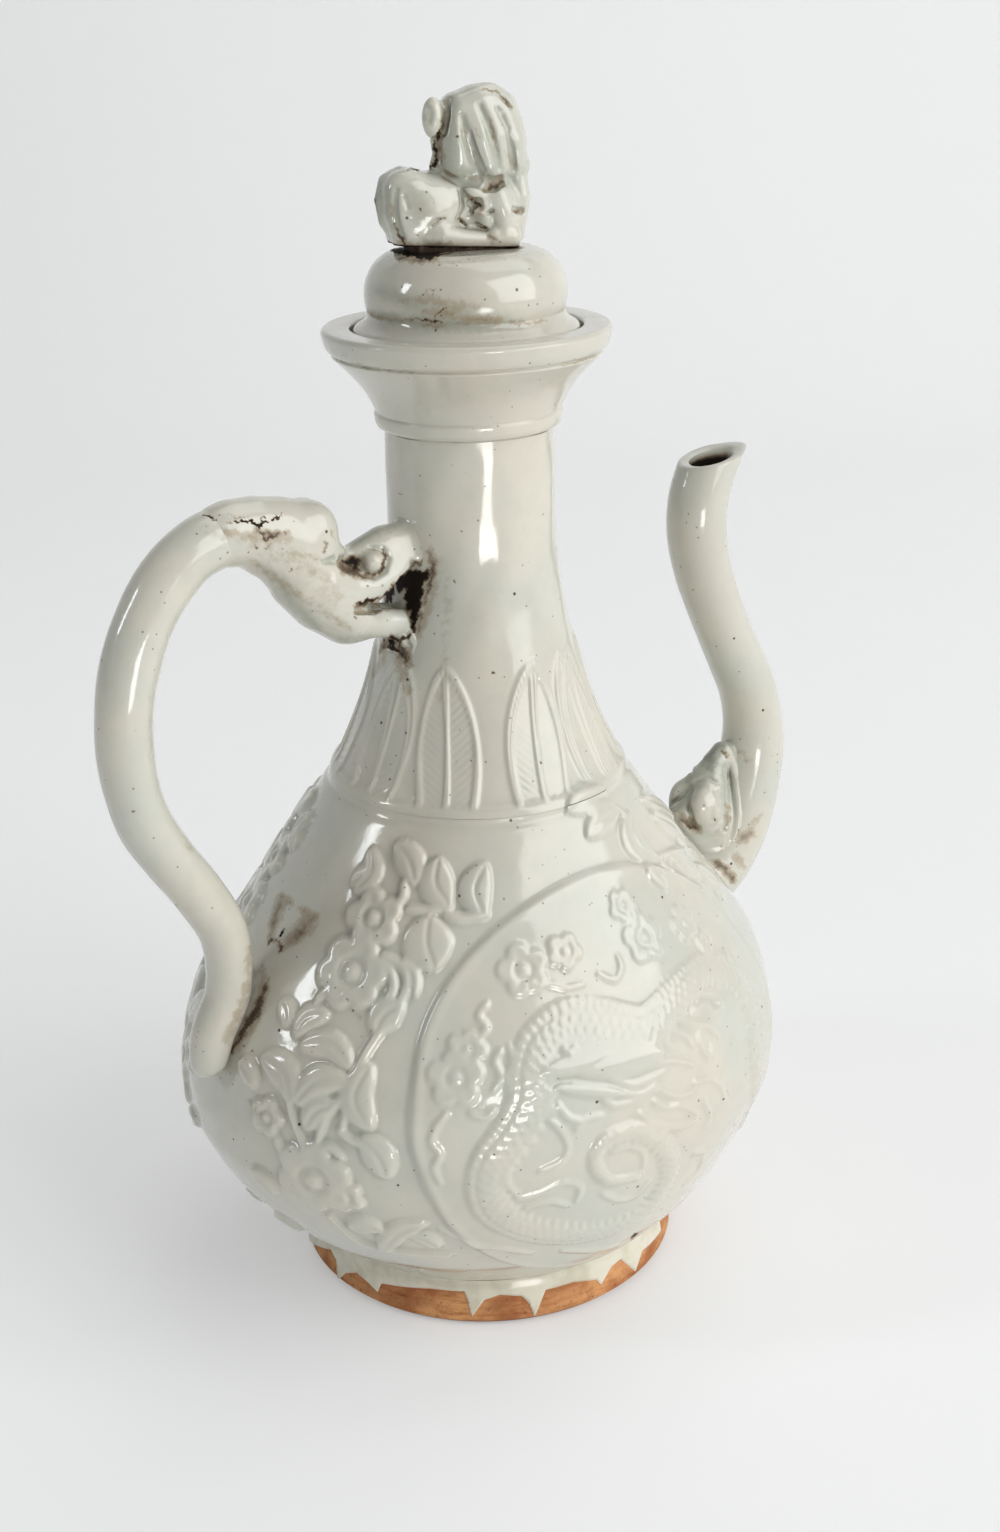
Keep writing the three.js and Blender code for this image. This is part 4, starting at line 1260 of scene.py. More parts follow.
def make_lid():
    low = math.sin(lid_first_turn)
    cushion = []
    for turn in lid_first_turn + np.linspace(0, 1, lid_side_rows) * (math.pi / 2 - lid_first_turn):
        out = lid_crown + (lid_bulge - lid_crown) * max(math.cos(turn), 0)
        share = (math.sin(turn) - low) / (1 - low)
        cushion.append((out, lid_waist_height + (lid_top - lid_waist_height) * share))
    sweep = [tuple(row) for row in spline_curve(lid_sweep, 5)]
    outline = [*lid_flange_rows, *sweep, *cushion, *lid_crown_rows]
    points, faces = closed_shell(lathe(outline, lid_sides, lid_wobble_share))
    # Painted shade and dirt marks only on the dome's near side
    marks = {"hollow": paint(points, lid_shade, False) * near_side(points),
             "stain_and_shade": paint(points, lid_dirt_and_shade, False) * near_side(points)}
    make_piece("domed_lid", points, faces, glaze, LID, ("lid_dome",), marks=marks)


def make_collar():
    outer, _, high = collar_high
    low = collar_low[2]
    inner = outer - collar_wall
    ring = rounded([(inner, low), (outer, low), (outer, high), (inner, high)], collar_round)
    points, faces = closed_shell(lathe(ring, collar_sides))
    make_piece("lid_collar_ring", points, faces, glaze, LID, ("lid_collar",))


make_lid()
make_collar()


# Tubes along a path in the plane through handle and spout
def plane_rings(rows, sides, grow=0):
    rows = np.asarray(rows, float)
    tangent = np.gradient(rows[:, :2], axis=0)
    tangent /= np.linalg.norm(tangent, axis=1, keepdims=True)
    angles = np.linspace(0, 2 * np.pi, sides, endpoint=False)
    out = (rows[:, 2:3] + grow) * np.cos(angles)
    rings = np.zeros((len(rows), sides, 3))
    rings[..., 0] = rows[:, :1] - tangent[:, 1:] * out
    rings[..., 1] = (rows[:, 2:3] + grow) * np.sin(angles)
    rings[..., 2] = rows[:, 1:2] + tangent[:, :1] * out
    return rings


def tube_rows(line, steps):
    """A smooth line in metres, with radii in place of diameters."""
    return smooth_line(np.array(line) * (MM, MM, MM / 2), steps)


# Rows of place along X, height and diameter in millimetres
handle_line = (
    (-50, 204.5, 11), (-55, 209.3, 12.4), (-62.6, 212.4, 13.6), (-71.2, 212.7, 13.9), (-78, 210.3, 13.9),
    (-84, 205.9, 13.8), (-89.4, 199.7, 13.8), (-93.7, 192.1, 13.8), (-96.9, 183.1, 13.7),
    (-98.4, 174.3, 13.6), (-98.8, 165, 13.4), (-98, 156.4, 13.3), (-95.5, 147.2, 13.2), (-90.3, 137.6, 13),
    (-83.5, 126.7, 12.6), (-77.4, 113.3, 12), (-77.4, 98.5, 11.6), (-82.6, 87.6, 10.9), (-84.6, 80, 9.4),
    (-84.8, 76.8, 5))
# Cracks, brown washes and specks of dirt, with painted shade along the tail where it meets the body
handle_dirt_and_shade = (
    (1.9, 0.7, (207, 515, 0.6), (212, 519, 1.2), (217, 520, 0.7)),
    (0.45, 9, (205, 532, 4), (225, 538, 6), (250, 540, 6)),
    (0.55, 7, (250, 950, 5), (248, 985, 6), (236, 1020, 6), (226, 1040, 6)),
    (0.42, 12, (150, 690, 4), (150, 760, 4), (190, 850, 6)), (1.5, 0.8, (101, 660, 1)),
    (1.5, 0.8, (133, 812, 1.1)), (1.5, 0.8, (176, 905, 1)), (1.3, 0.8, (118, 742, 0.8)))
handle_steps = 26
handle_sides = 96
# Hand-rolled clay is never quite even: share of the radius, waves along it and round it, and start
handle_swells = ((0.012, 23, 1, 0), (0.01, 51, 2, 1))


def make_handle():
    rings = plane_rings(tube_rows(handle_line, handle_steps), handle_sides)
    along = np.linspace(0, 1, len(rings))[:, None]
    angle = np.linspace(0, 2 * np.pi, handle_sides, endpoint=False)[None, :]
    centre = rings.mean(axis=1, keepdims=True)
    swell = sum(share * np.sin(along * waves + angle * turns + start)
                for share, waves, turns, start in handle_swells)
    points, faces = capped_tube(centre + (rings - centre) * (1 + swell)[..., None])
    marks = {"stain_and_shade": np.where(points[:, 1] < MM, paint(points, handle_dirt_and_shade, False), 0)}
    make_piece("handle_tube", points, faces, glaze, EWER, ("handle_loop",), marks=marks)


make_handle()

# Rows of place along X, height and diameter in millimetres
spout_line = (
    (66, 82.5, 20), (73, 82.6, 21), (81.5, 85.8, 21.6), (88, 92, 21.6), (92.8, 100, 21.2), (96.4, 110, 20),
    (98.6, 120, 18.6), (98.3, 130, 17.2), (95.6, 140, 16.4), (91.4, 148.5, 15.9), (86.3, 158.5, 15.5),
    (81.6, 168.5, 15.6), (77.6, 178.5, 16), (75.4, 188.5, 16.5), (75.6, 197, 16.6), (77.6, 204, 16.2),
    (80.9, 210.5, 15.8), (85, 217, 15.6), (89, 222.5, 15.6))
spout_dirt = (
    (0.6, 6, (742, 752, 4), (748, 760, 4)), (0.95, 6, (742, 838, 6), (752, 834, 4)),
    (0.7, 6, (752, 824, 4), (760, 816, 3)), (1, 5, (714, 862, 3), (724, 868, 5), (733, 879, 4)),
    (0.7, 6, (736, 856, 5), (742, 866, 4)), (1.8, 0.8, (769, 737, 1.3)), (1.6, 0.8, (757, 773, 1.2)),
    (1.6, 0.8, (754, 795, 1.2)), (1.3, 0.8, (748, 640, 0.9)))
spout_wall = 2.8 * MM
spout_steps = 8
spout_outer_rows = 170
spout_inner_rows = 120
spout_sides = 64
spout_top = spout_high[2] - 2.4 * MM
spout_outer_top = spout_top - 0.5 * MM
spout_inner_top = spout_top - 0.8 * MM
mouth_slant = 0.2
mouth_middle = 84 * MM
# The lip draws out into a point at its outer end
lip_low = spout_top - 7 * MM
lip_high = spout_top + 1 * MM
lip_reach = 9 * MM
lip_length = 1.3 * MM
lip_pinch_share = 0.35
# Rounded edge of the lip: share of the outer wall in each ring, and its rise
lip_rings = ((0.8, 0.45 * MM), (0.35, 0.3 * MM))
# Painted shade: the bore turns black from just below the lip downwards
bore_shade_depths = (0.8 * MM, 4 * MM)
bore_painted_shade = 2.4


def above_slant(points):
    """Height less the mouth's slant."""
    return points[..., 2] - mouth_slant * (points[..., 0] - mouth_middle)


def cut_level(rings, height, steps):
    """Each line along the tube runs from the first ring to where it meets the slanted mouth."""
    result = np.zeros((steps, rings.shape[1], 3))
    for j in range(rings.shape[1]):
        line = rings[:, j]
        level = above_slant(line)
        over = np.argmax(level > height)
        before = over - 1
        t = (height - level[before]) / (level[over] - level[before])
        sizes = np.concatenate([np.arange(over), [before + t]])
        goal = np.linspace(0, before + t, steps)
        kept = np.concatenate([line[:over], [line[before] + t * (line[over] - line[before])]])
        for axis in range(3):
            result[:, j, axis] = np.interp(goal, sizes, kept[:, axis])
    return result


def make_spout():
    rows = tube_rows(spout_line, spout_steps)
    outer = cut_level(plane_rings(rows, spout_sides), spout_outer_top, spout_outer_rows)
    inner = cut_level(plane_rings(rows, spout_sides, -spout_wall), spout_inner_top, spout_inner_rows)
    for rings, share in ((outer, 1), (inner, 0.5)):
        drawn = share * step_edge(rings[..., 2], lip_low, lip_high)
        drawn *= step_edge(rings[..., 0], mouth_middle, mouth_middle + lip_reach)
        rings[..., 0] += lip_length * drawn
        rings[..., 1] *= 1 - lip_pinch_share * drawn
    lip = [outer[-1] * share + inner[-1] * (1 - share) + rise * UP for share, rise in lip_rings]
    rings = np.concatenate([outer, lip, inner[::-1]])
    points, faces = closed_shell(rings)
    inside = np.arange(len(points)) >= (len(outer) + len(lip)) * spout_sides
    depth = spout_top - above_slant(points)
    stain_and_shade = np.where(inside, bore_painted_shade * step_edge(depth, *bore_shade_depths), paint(points, spout_dirt))
    make_piece("curved_spout", points, faces, glaze, EWER, ("spout_tube",), marks={"stain_and_shade": stain_and_shade})


make_spout()


# Sculpted pieces, in millimetres: soft unions of round forms, meshed where their field is zero
sculpt_cell = 0.36
lion_cell = 0.3
far_field = 1e3
far_reach_share = 2.2
sight_count = 400


class Clay:
    """A field over a block of space, in millimetres, negative inside the form."""

    def __init__(self, low, high, cell):
        self.low = np.array(low, float)
        self.cell = cell
        counts = np.ceil((np.array(high) - self.low) / cell).astype(int) + 1
        axes = [self.low[i] + cell * np.arange(counts[i]) for i in range(3)]
        self.x, self.y, self.z = np.meshgrid(*axes, indexing="ij", sparse=True)
        self.field = np.full(counts, far_field, np.float32)

    def ball(self, centre, radii, lean=0):
        """Ellipsoid, leaning about Y by degrees."""
        x = self.x - centre[0]
        y = self.y - centre[1]
        z = self.z - centre[2]
        if lean:
            c = math.cos(math.radians(lean))
            s = math.sin(math.radians(lean))
            x, z = c * x + s * z, c * z - s * x
        k0 = np.sqrt((x / radii[0]) ** 2 + (y / radii[1]) ** 2 + (z / radii[2]) ** 2)
        k1 = np.sqrt((x / radii[0] ** 2) ** 2 + (y / radii[1] ** 2) ** 2 + (z / radii[2] ** 2) ** 2)
        return (k0 * (k0 - 1) / np.maximum(k1, 1e-6)).astype(np.float32)

    def limb(self, points, radii):
        """Round limb through points, its radius changing evenly from one to the next."""
        field = None
        for a, b, ra, rb in zip(points[:-1], points[1:], radii[:-1], radii[1:]):
            a = np.array(a, float)
            edge = np.array(b, float) - a
            t = (self.x - a[0]) * edge[0] + (self.y - a[1]) * edge[1] + (self.z - a[2]) * edge[2]
            t = np.clip(t / (edge @ edge), 0, 1)
            off = np.sqrt((self.x - a[0] - t * edge[0]) ** 2 + (self.y - a[1] - t * edge[1]) ** 2
                          + (self.z - a[2] - t * edge[2]) ** 2) - (ra + (rb - ra) * t)
            field = off if field is None else np.minimum(field, off)
        return field.astype(np.float32)

    def tube(self, line, grow):
        """Limb along rows of place along X, height and diameter, thicker by grow all round."""
        return self.limb([(x, 0, z) for x, z, d in line], [d / 2 + grow for x, z, d in line])

    def add(self, form, soft):
        share = np.clip(0.5 + 0.5 * (self.field - form) / soft, 0, 1)
        self.field = self.field + (form - self.field) * share - soft * share * (1 - share)

    def cut(self, form, soft):
        share = np.clip(0.5 - 0.5 * (self.field + form) / soft, 0, 1)
        self.field = self.field + (-form - self.field) * share + soft * share * (1 - share)

    def from_wall(self):
        """Distance from the wall of body or neck, positive outside."""
        length, depth = (half.reshape(1, 1, -1) / MM for half in wall_halves(self.z.ravel() * MM))
        return (np.sqrt((self.x / length) ** 2 + (self.y / depth) ** 2) - 1) * length

    def mesh(self):
        """Vertices and quads where the field crosses zero."""
        f = self.field
        inside = f < 0
        shape = tuple(n - 1 for n in f.shape)
        total = np.zeros(shape + (3,), np.float32)
        count = np.zeros(shape, np.float32)
        faces = []
        edges = []
        for axis in range(3):
            one = [slice(None)] * 3
            two = [slice(None)] * 3
            one[axis] = slice(0, -1)
            two[axis] = slice(1, None)
            cross = inside[tuple(one)] != inside[tuple(two)]
            place = np.argwhere(cross)
            fa = f[tuple(one)][cross]
            fb = f[tuple(two)][cross]
            point = place.astype(np.float32)
            point[:, axis] += fa / (fa - fb)
            u = (axis + 1) % 3
            v = (axis + 2) % 3
            for du, dv in ((0, 0), (0, -1), (-1, 0), (-1, -1)):
                cell = place.copy()
                cell[:, u] += du
                cell[:, v] += dv
                good = ((cell >= 0) & (cell < shape)).all(axis=1)
                index = tuple(cell[good].T)
                for k in range(3):
                    np.add.at(total[..., k], index, point[good][:, k])
                np.add.at(count, index, 1)
            edges.append((place, fa < 0, u, v))
        used = count > 0
        numbers = np.full(shape, -1, np.int64)
        numbers[used] = np.arange(used.sum())
        points = total[used] / count[used][:, None]
        for place, starts_inside, u, v in edges:
            quad = []
            for du, dv in ((0, 0), (-1, 0), (-1, -1), (0, -1)):
                cell = place.copy()
                cell[:, u] += du
                cell[:, v] += dv
                cell = np.clip(cell, 0, np.array(shape) - 1)
                quad.append(numbers[tuple(cell.T)])
            quad = np.stack(quad, axis=1)
            quad[~starts_inside] = quad[~starts_inside][:, ::-1]
            faces.append(quad)
        return self.low + points * self.cell, np.concatenate(faces)

    def probe(self, points):
        """Field at points, between the cells."""
        place = (points - self.low) / self.cell
        place = np.clip(place, 0, np.array(self.field.shape) - 1.001)
        base = place.astype(int)
        part = place - base
        value = np.zeros(len(points))
        for corner in np.ndindex(2, 2, 2):
            weight = np.where(corner, part, 1 - part).prod(axis=1)
            value += weight * self.field[tuple((base + corner).T)]
        return value

    def touch(self, start, ray, near=0.0):
        """Where a sight line first meets the form, moved inwards by near."""
        low = self.low - start
        high = self.low + self.cell * (np.array(self.field.shape) - 1) - start
        spans = np.sort(np.stack([low / ray, high / ray]), axis=0)
        steps = np.linspace(spans[0].max(), spans[1].min(), sight_count)
        line = start + steps[:, None] * ray
        field = self.probe(line)
        place = line[np.argmax(field < 0)] if (field < 0).any() else line[np.argmin(field)]
        return place + near * ray / np.linalg.norm(ray)

    def marks(self, points, reach):
        """How deep each point lies in a hollow, from the field a little way off the surface."""
        step = self.cell * 0.5
        slope = np.zeros_like(points)
        for axis in range(3):
            shift = np.zeros(3)
            shift[axis] = step
            slope[:, axis] = self.probe(points + shift) - self.probe(points - shift)
        slope /= np.maximum(np.linalg.norm(slope, axis=1, keepdims=True), 1e-6)
        near = 1 - self.probe(points + slope * reach) / reach
        reach = reach * far_reach_share
        far = 1 - self.probe(points + slope * reach) / reach
        return np.clip((near + far) * 0.9, -0.5, 1.6)


def at_depth(x, y, depth):
    """Place in millimetres where a pixel's sight line meets the upright plane at that distance along Y."""
    ray = ray_through(x, y)
    return (eye + ray * ((depth * MM - eye[1]) / ray[1])) / MM


def own_sight(x, y):
    """Start in millimetres and direction of a pixel's sight line."""
    return eye / MM, ray_through(x, y)


def sculpt(clay, steps, place=at_depth, sight=own_sight):
    """Works a form step by step.

    A step is its kind, rows of pixel column and row, radii, softness and one value more where it needs it.
    Rows of limbs, balls and holes give a depth too, and balls may lean. Grooves and curls lie where the
    sight line meets the form, or that much deeper. A kind that ends in s is mirrored across the plane Y = 0.
    """
    for kind, rows, radii, soft, *more in steps:
        if kind in ("groove", "grooves", "curls"):
            points = [clay.touch(*sight(*row), *more) for row in rows]
        else:
            points = [place(*row) for row in rows]
        for sign in ((1, -1) if kind.endswith("s") else (1,)):
            own = [(p[0], p[1] * sign, p[2]) for p in points]
            form = clay.ball(own[0], radii, *more) if len(own) == 1 else clay.limb(own, radii)
            if kind in ("holes", "groove", "grooves"):
                clay.cut(form, soft)
            else:
                clay.add(form, soft)


# Where the field says a point is deep in a hollow, it is a little dirty
hollow_dirt = 0.5
hollow_start = 0.6
near_dirt_and_shade_limit = 5.5


def finish_clay(name, clay, nodes, dirt_and_shade, shade, reach, near_dirt_and_shade=()):
    points, faces = clay.mesh()
    hollow = clay.marks(points, reach)
    places = points * MM
    stain_and_shade = np.maximum(paint(places, dirt_and_shade), hollow_dirt * np.clip(hollow - hollow_start, 0, 1))
    near = points[:, 1] < near_dirt_and_shade_limit
    stain_and_shade = np.maximum(stain_and_shade, np.where(near, paint(places, near_dirt_and_shade, False), 0))
    # Shade strokes raise the glaze's hollow tint into painted shade
    marks = {"hollow": np.maximum(hollow, paint(places, shade)), "stain_and_shade": stain_and_shade}
    make_piece(name, places, faces, glaze, EWER, nodes, marks=marks, sharp=180)


# Dragon head that bites the neck
head_box = ((-76, -12, 162), (-13, 12, 224))
crown_radii = (6.6, 6.9, 7.3, 7.9, 8.1)
head_form = (
    # A blunt lobe that lies over the back of the head
    ("limb", ((232, 530, 0), (254, 529, 0), (278, 530, 0), (306, 533, 0)), (6.8, 7.3, 7.8, 7.7), 3),
    ("limbs", ((312, 523, -2.5), (315, 545, -2.5)), (4.8, 4.6), 2),
    # Throat, cheek and lower jaw
    ("limb", ((283, 556, 0), (302, 578, 0), (322, 596, 0), (346, 612, 0)), (7, 8.3, 8.6, 7.9), 3.5),
    ("limb", ((264, 545, 0), (284, 551, 0), (304, 558, 0), (322, 566, 0)), (6.9, 7.2, 7.3, 6.8), 3),
    ("limbs", ((330, 600, -3.2), (356, 619, -3.2), (384, 624, -3), (399, 623, -2.6)), (5, 4.6, 3.4, 3.3), 2),
    # Cheek and upper jaw, which rises to the nose
    ("limbs", ((322, 584, -2.5), (345, 587, -3), (368, 586, -3.2), (388, 574, -3), (404, 559, -2.6),
               (420, 548, -2)), (6.5, 5, 4.3, 4, 3.8, 3.6), 2),
    # Forehead and bridge of the nose
    ("limb", ((345, 572, 0), (362, 562, 0), (384, 548, 0), (406, 542, 0), (430, 545, 0)),
     (5.5, 5.6, 5.6, 5.4, 5), 2.5))
curl_radii = (1.3, 1.1, 0.8)
head_details = (
    # Crease between crown and cheek
    ("grooves", ((324, 562), (334, 560)), (0.3, 0.8), 1.2),
    # Eye: a deep socket, a line round it and the eyeball
    ("grooves", ((343, 563), (352, 562), (360, 564)), (1.2, 2.3, 1.8), 1.8, -0.1),
    ("grooves", ((362, 573), (374, 576), (384, 570), (387, 559), (382, 550), (371, 548)),
     (0.6, 0.6, 0.6, 0.6, 0.5, 0.3), 1.4),
    ("balls", ((373, 561, -4.8),), (2.8, 2.4, 2.4), 1),
    # Mouth: a slot that opens into a dark gape before the neck
    ("grooves", ((357, 610), (372, 609), (386, 606), (396, 603)), (1.1, 1.4, 1.5, 1.7), 0.5, 0.6),
    ("holes", ((397, 596, -5.6),), (2.8, 5, 2.4), 0.6), ("holes", ((404, 588, -5.6),), (3.6, 5, 3.4), 0.6),
    ("holes", ((412, 583, -5.6),), (4.6, 5, 4), 0.6), ("holes", ((423, 580, -5.6),), (3.8, 5, 3.6), 0.6),
    ("holes", ((417, 598, -5.6),), (3.6, 5, 5), 0.6), ("holes", ((416, 614, -5.6),), (2.6, 5, 5), 0.6),
    ("holes", ((404, 590, 0),), (7, 2.4, 3), 0.5),
    # Lower jaw's rounded tip, and the nose above the gape
    ("limbs", ((380, 619, -3.6), (400, 620, -3.6), (404, 628, -3)), (2.6, 2.6, 2.6), 1),
    ("balls", ((423, 563, -3.2),), (2.3, 2, 2.2), 0.8),
    ("grooves", ((412, 562), (422, 570), (432, 566)), (0.5, 0.6, 0.5), 0.5),
    # Beard curls on the neck
    ("curls", ((392, 638), (396, 648), (404, 657)), curl_radii, 0.5, 0.2),
    ("curls", ((402, 637), (408, 646), (407, 658)), curl_radii, 0.5, 0.2),
    ("curls", ((411, 634), (416, 643), (414, 652)), curl_radii, 0.5, 0.2))
head_near_dirt_and_shade = (
    # Cracks in the crown's glaze, and brown painted shade under the crown
    (2.4, 0.6, (235, 521, 0.5), (244, 522, 1.3), (250, 520, 0.8), (254, 524, 1.2), (258, 526, 1.8),
     (262, 523, 1.3), (267, 521, 0.8), (273, 521, 0.5)),
    (2, 0.6, (262, 524, 1), (261, 519, 0.8), (266, 517, 0.4)),
    (2, 0.6, (273, 521, 0.6), (276, 515, 1.1), (278, 520, 0.7), (281, 514, 0.4)),
    (1.9, 0.7, (207, 515, 0.6), (212, 519, 1.2), (217, 520, 0.7)),
    (1, 0.8, (219, 515, 0.4), (226, 521, 0.6), (233, 524, 0.6)),
    (0.9, 0.8, (229, 514, 0.5), (236, 518, 0.8), (249, 517, 0.6)),
    (1, 0.7, (218, 526, 0.4), (224, 531, 0.6)),
    (1.3, 1.4, (262, 533, 2), (266, 540, 2), (272, 537, 2), (278, 534, 1.5)),
    (1.4, 0.9, (283, 531, 0.8), (286, 534, 0.6)), (1.2, 1, (255, 540, 0.8), (256, 548, 0.8)),
    (1.2, 1, (266, 549, 0.9), (270, 545, 0.8)), (0.95, 5, (256, 530, 4), (270, 536, 6), (286, 533, 3)),
    (0.65, 9, (216, 532, 3), (236, 534, 5), (256, 538, 7), (285, 538, 8)),
    (0.62, 7, (262, 554, 2), (288, 553, 4), (312, 557, 4), (322, 561, 2)),
    (0.95, 2, (326, 543, 2), (325, 552, 1.5)), (0.6, 3, (331, 532, 2), (335, 541, 1)),
    (0.7, 1, (314, 556, 1)),
    # Black painted shade in the gape
    (2.4, 2.5, (388, 599, 2), (395, 592, 5), (404, 588, 8), (414, 580, 9)),
    (2.4, 2.5, (404, 590, 8), (410, 600, 7)))
head_dirt_and_shade = (
    # Faint brown over the whole head
    (0.36, 16, (236, 536, 12), (300, 560, 18), (340, 600, 16), (390, 622, 8)), (0.36, 12, (372, 560, 16)),
    # Eye: black painted shade in the socket, with brown round it
    (1.9, 5, (340, 562, 1), (347, 562, 4), (354, 562, 6)), (1.9, 5, (354, 561, 6), (356, 569, 4)),
    (1.1, 4, (336, 561, 1), (346, 568, 7), (360, 576, 4), (374, 577, 2)),
    (1.3, 2, (366, 574, 2), (378, 574, 2), (383, 567, 2), (385, 556, 2), (383, 549, 1.5)),
    (0.5, 4, (362, 552, 2), (372, 549, 2), (380, 550, 2)), (0.45, 4, (368, 566, 3)),
    # Mouth and beard: black painted shade in the slot and the gape, with brown marks
    (1.05, 2.5, (356, 606, 3), (366, 603, 3), (374, 601, 2.5), (384, 597, 3)),
    (1.9, 1.5, (358, 604, 1.5), (370, 600, 2), (378, 599, 1)),
    (0.8, 2.5, (356, 612, 2.5), (372, 612, 2), (390, 608, 2), (402, 608, 2)),
    (2.2, 1.2, (383, 606, 2), (392, 605, 2.5), (402, 604, 2.5)), (1.3, 1, (355, 618, 1.2)),
    (2.3, 3.5, (386, 595, 2), (396, 589, 5), (406, 582, 7), (414, 578, 8)),
    (2.3, 3.5, (414, 578, 8), (422, 577, 5), (427, 573, 3)),
    (2.1, 2.5, (386, 600, 1.5), (394, 598, 4), (404, 598, 5)),
    (2.3, 3.5, (415, 582, 8), (413, 596, 8), (411, 604, 5)),
    (2.3, 3.5, (416, 590, 7), (415, 608, 5), (414, 620, 3), (413, 632, 1)),
    (1.15, 4, (428, 552, 2), (432, 562, 4), (433, 573, 4)),
    (0.5, 8, (250, 560, 4), (280, 582, 6), (310, 602, 6), (350, 628, 5)),
    (1.1, 2, (411, 566, 3), (420, 563, 4), (430, 562, 3)), (0.6, 2, (430, 556, 1.5), (427, 548, 2)),
    (1.2, 1, (420, 549, 1)), (1.2, 1.5, (405, 611, 1.2), (410, 618, 1.5), (412, 628, 1.5)),
    (1.7, 2, (391, 637, 2), (400, 640, 2), (409, 636, 2)),
    (1.9, 1.5, (391, 641, 3), (393, 648, 2), (398, 652, 1)),
    (1.5, 2, (400, 642, 2), (402, 652, 2), (407, 661, 2)), (1, 5, (396, 646, 6), (405, 655, 7)),
    (1.5, 0.9, (383, 586, 1.3)), (1.3, 0.9, (368, 585, 1)), (1.2, 1.2, (312, 611, 1.3)),
    (1.2, 0.8, (292, 570, 1.2)), (0.9, 0.8, (350, 626, 0.9)))
head_shade = (
    (0.9, 9, (262, 566, 3), (280, 582, 7), (296, 604, 7), (316, 626, 4)),
    (0.85, 8, (350, 548, 2), (370, 534, 4), (392, 526, 5)), (0.8, 7, (340, 640, 2), (370, 636, 2)))
crown_soft = 1
neck_soft = 3
wall_overlap = 0.5
head_depth_in_wall = 2.4


def make_dragon_head():
    clay = Clay(*head_box, sculpt_cell)
    # The handle grows into the crown
    places = [(x, 0, z) for x, z, d in handle_line[:5][::-1]]
    clay.add(clay.limb(places, crown_radii), crown_soft)
    sculpt(clay, head_form)
    length, _ = wall_halves(clay.z.ravel() * MM)
    outside = np.sqrt(clay.x ** 2 + clay.y ** 2) - (length / MM).reshape(1, 1, -1)
    clay.add(outside + wall_overlap, neck_soft)
    sculpt(clay, head_details)
    clay.field = np.maximum(clay.field, -outside - head_depth_in_wall)
    finish_clay("dragon_head_bite", clay, ("dragon_head",), head_dirt_and_shade, head_shade, 1.5, head_near_dirt_and_shade)


make_dragon_head()

# Guardian lion on the lid, sculpted in its own frame: X is the way it faces, Z its height above the plinth
lion_turn = math.radians(-20)
lion_origin = np.append((plinth_low + plinth_high)[:2] / 2, plinth_high[2])
turned_back = np.array([
    [math.cos(lion_turn), math.sin(lion_turn), 0], [-math.sin(lion_turn), math.cos(lion_turn), 0], [0, 0, 1]])


def lion_place(points):
    """From the lion's own millimetres to the object's metres."""
    return points @ turned_back * MM + lion_origin


def lion_sight(x, y):
    """Start and direction of a pixel's sight line in the lion's frame."""
    return turned_back @ (eye - lion_origin) / MM, turned_back @ ray_through(x, y)


def on_lion(x, y, depth):
    """Place in the lion's frame where a pixel's sight line meets its upright plane at that depth."""
    start, ray = lion_sight(x, y)
    return start + ray * ((depth - start[1]) / ray[1])


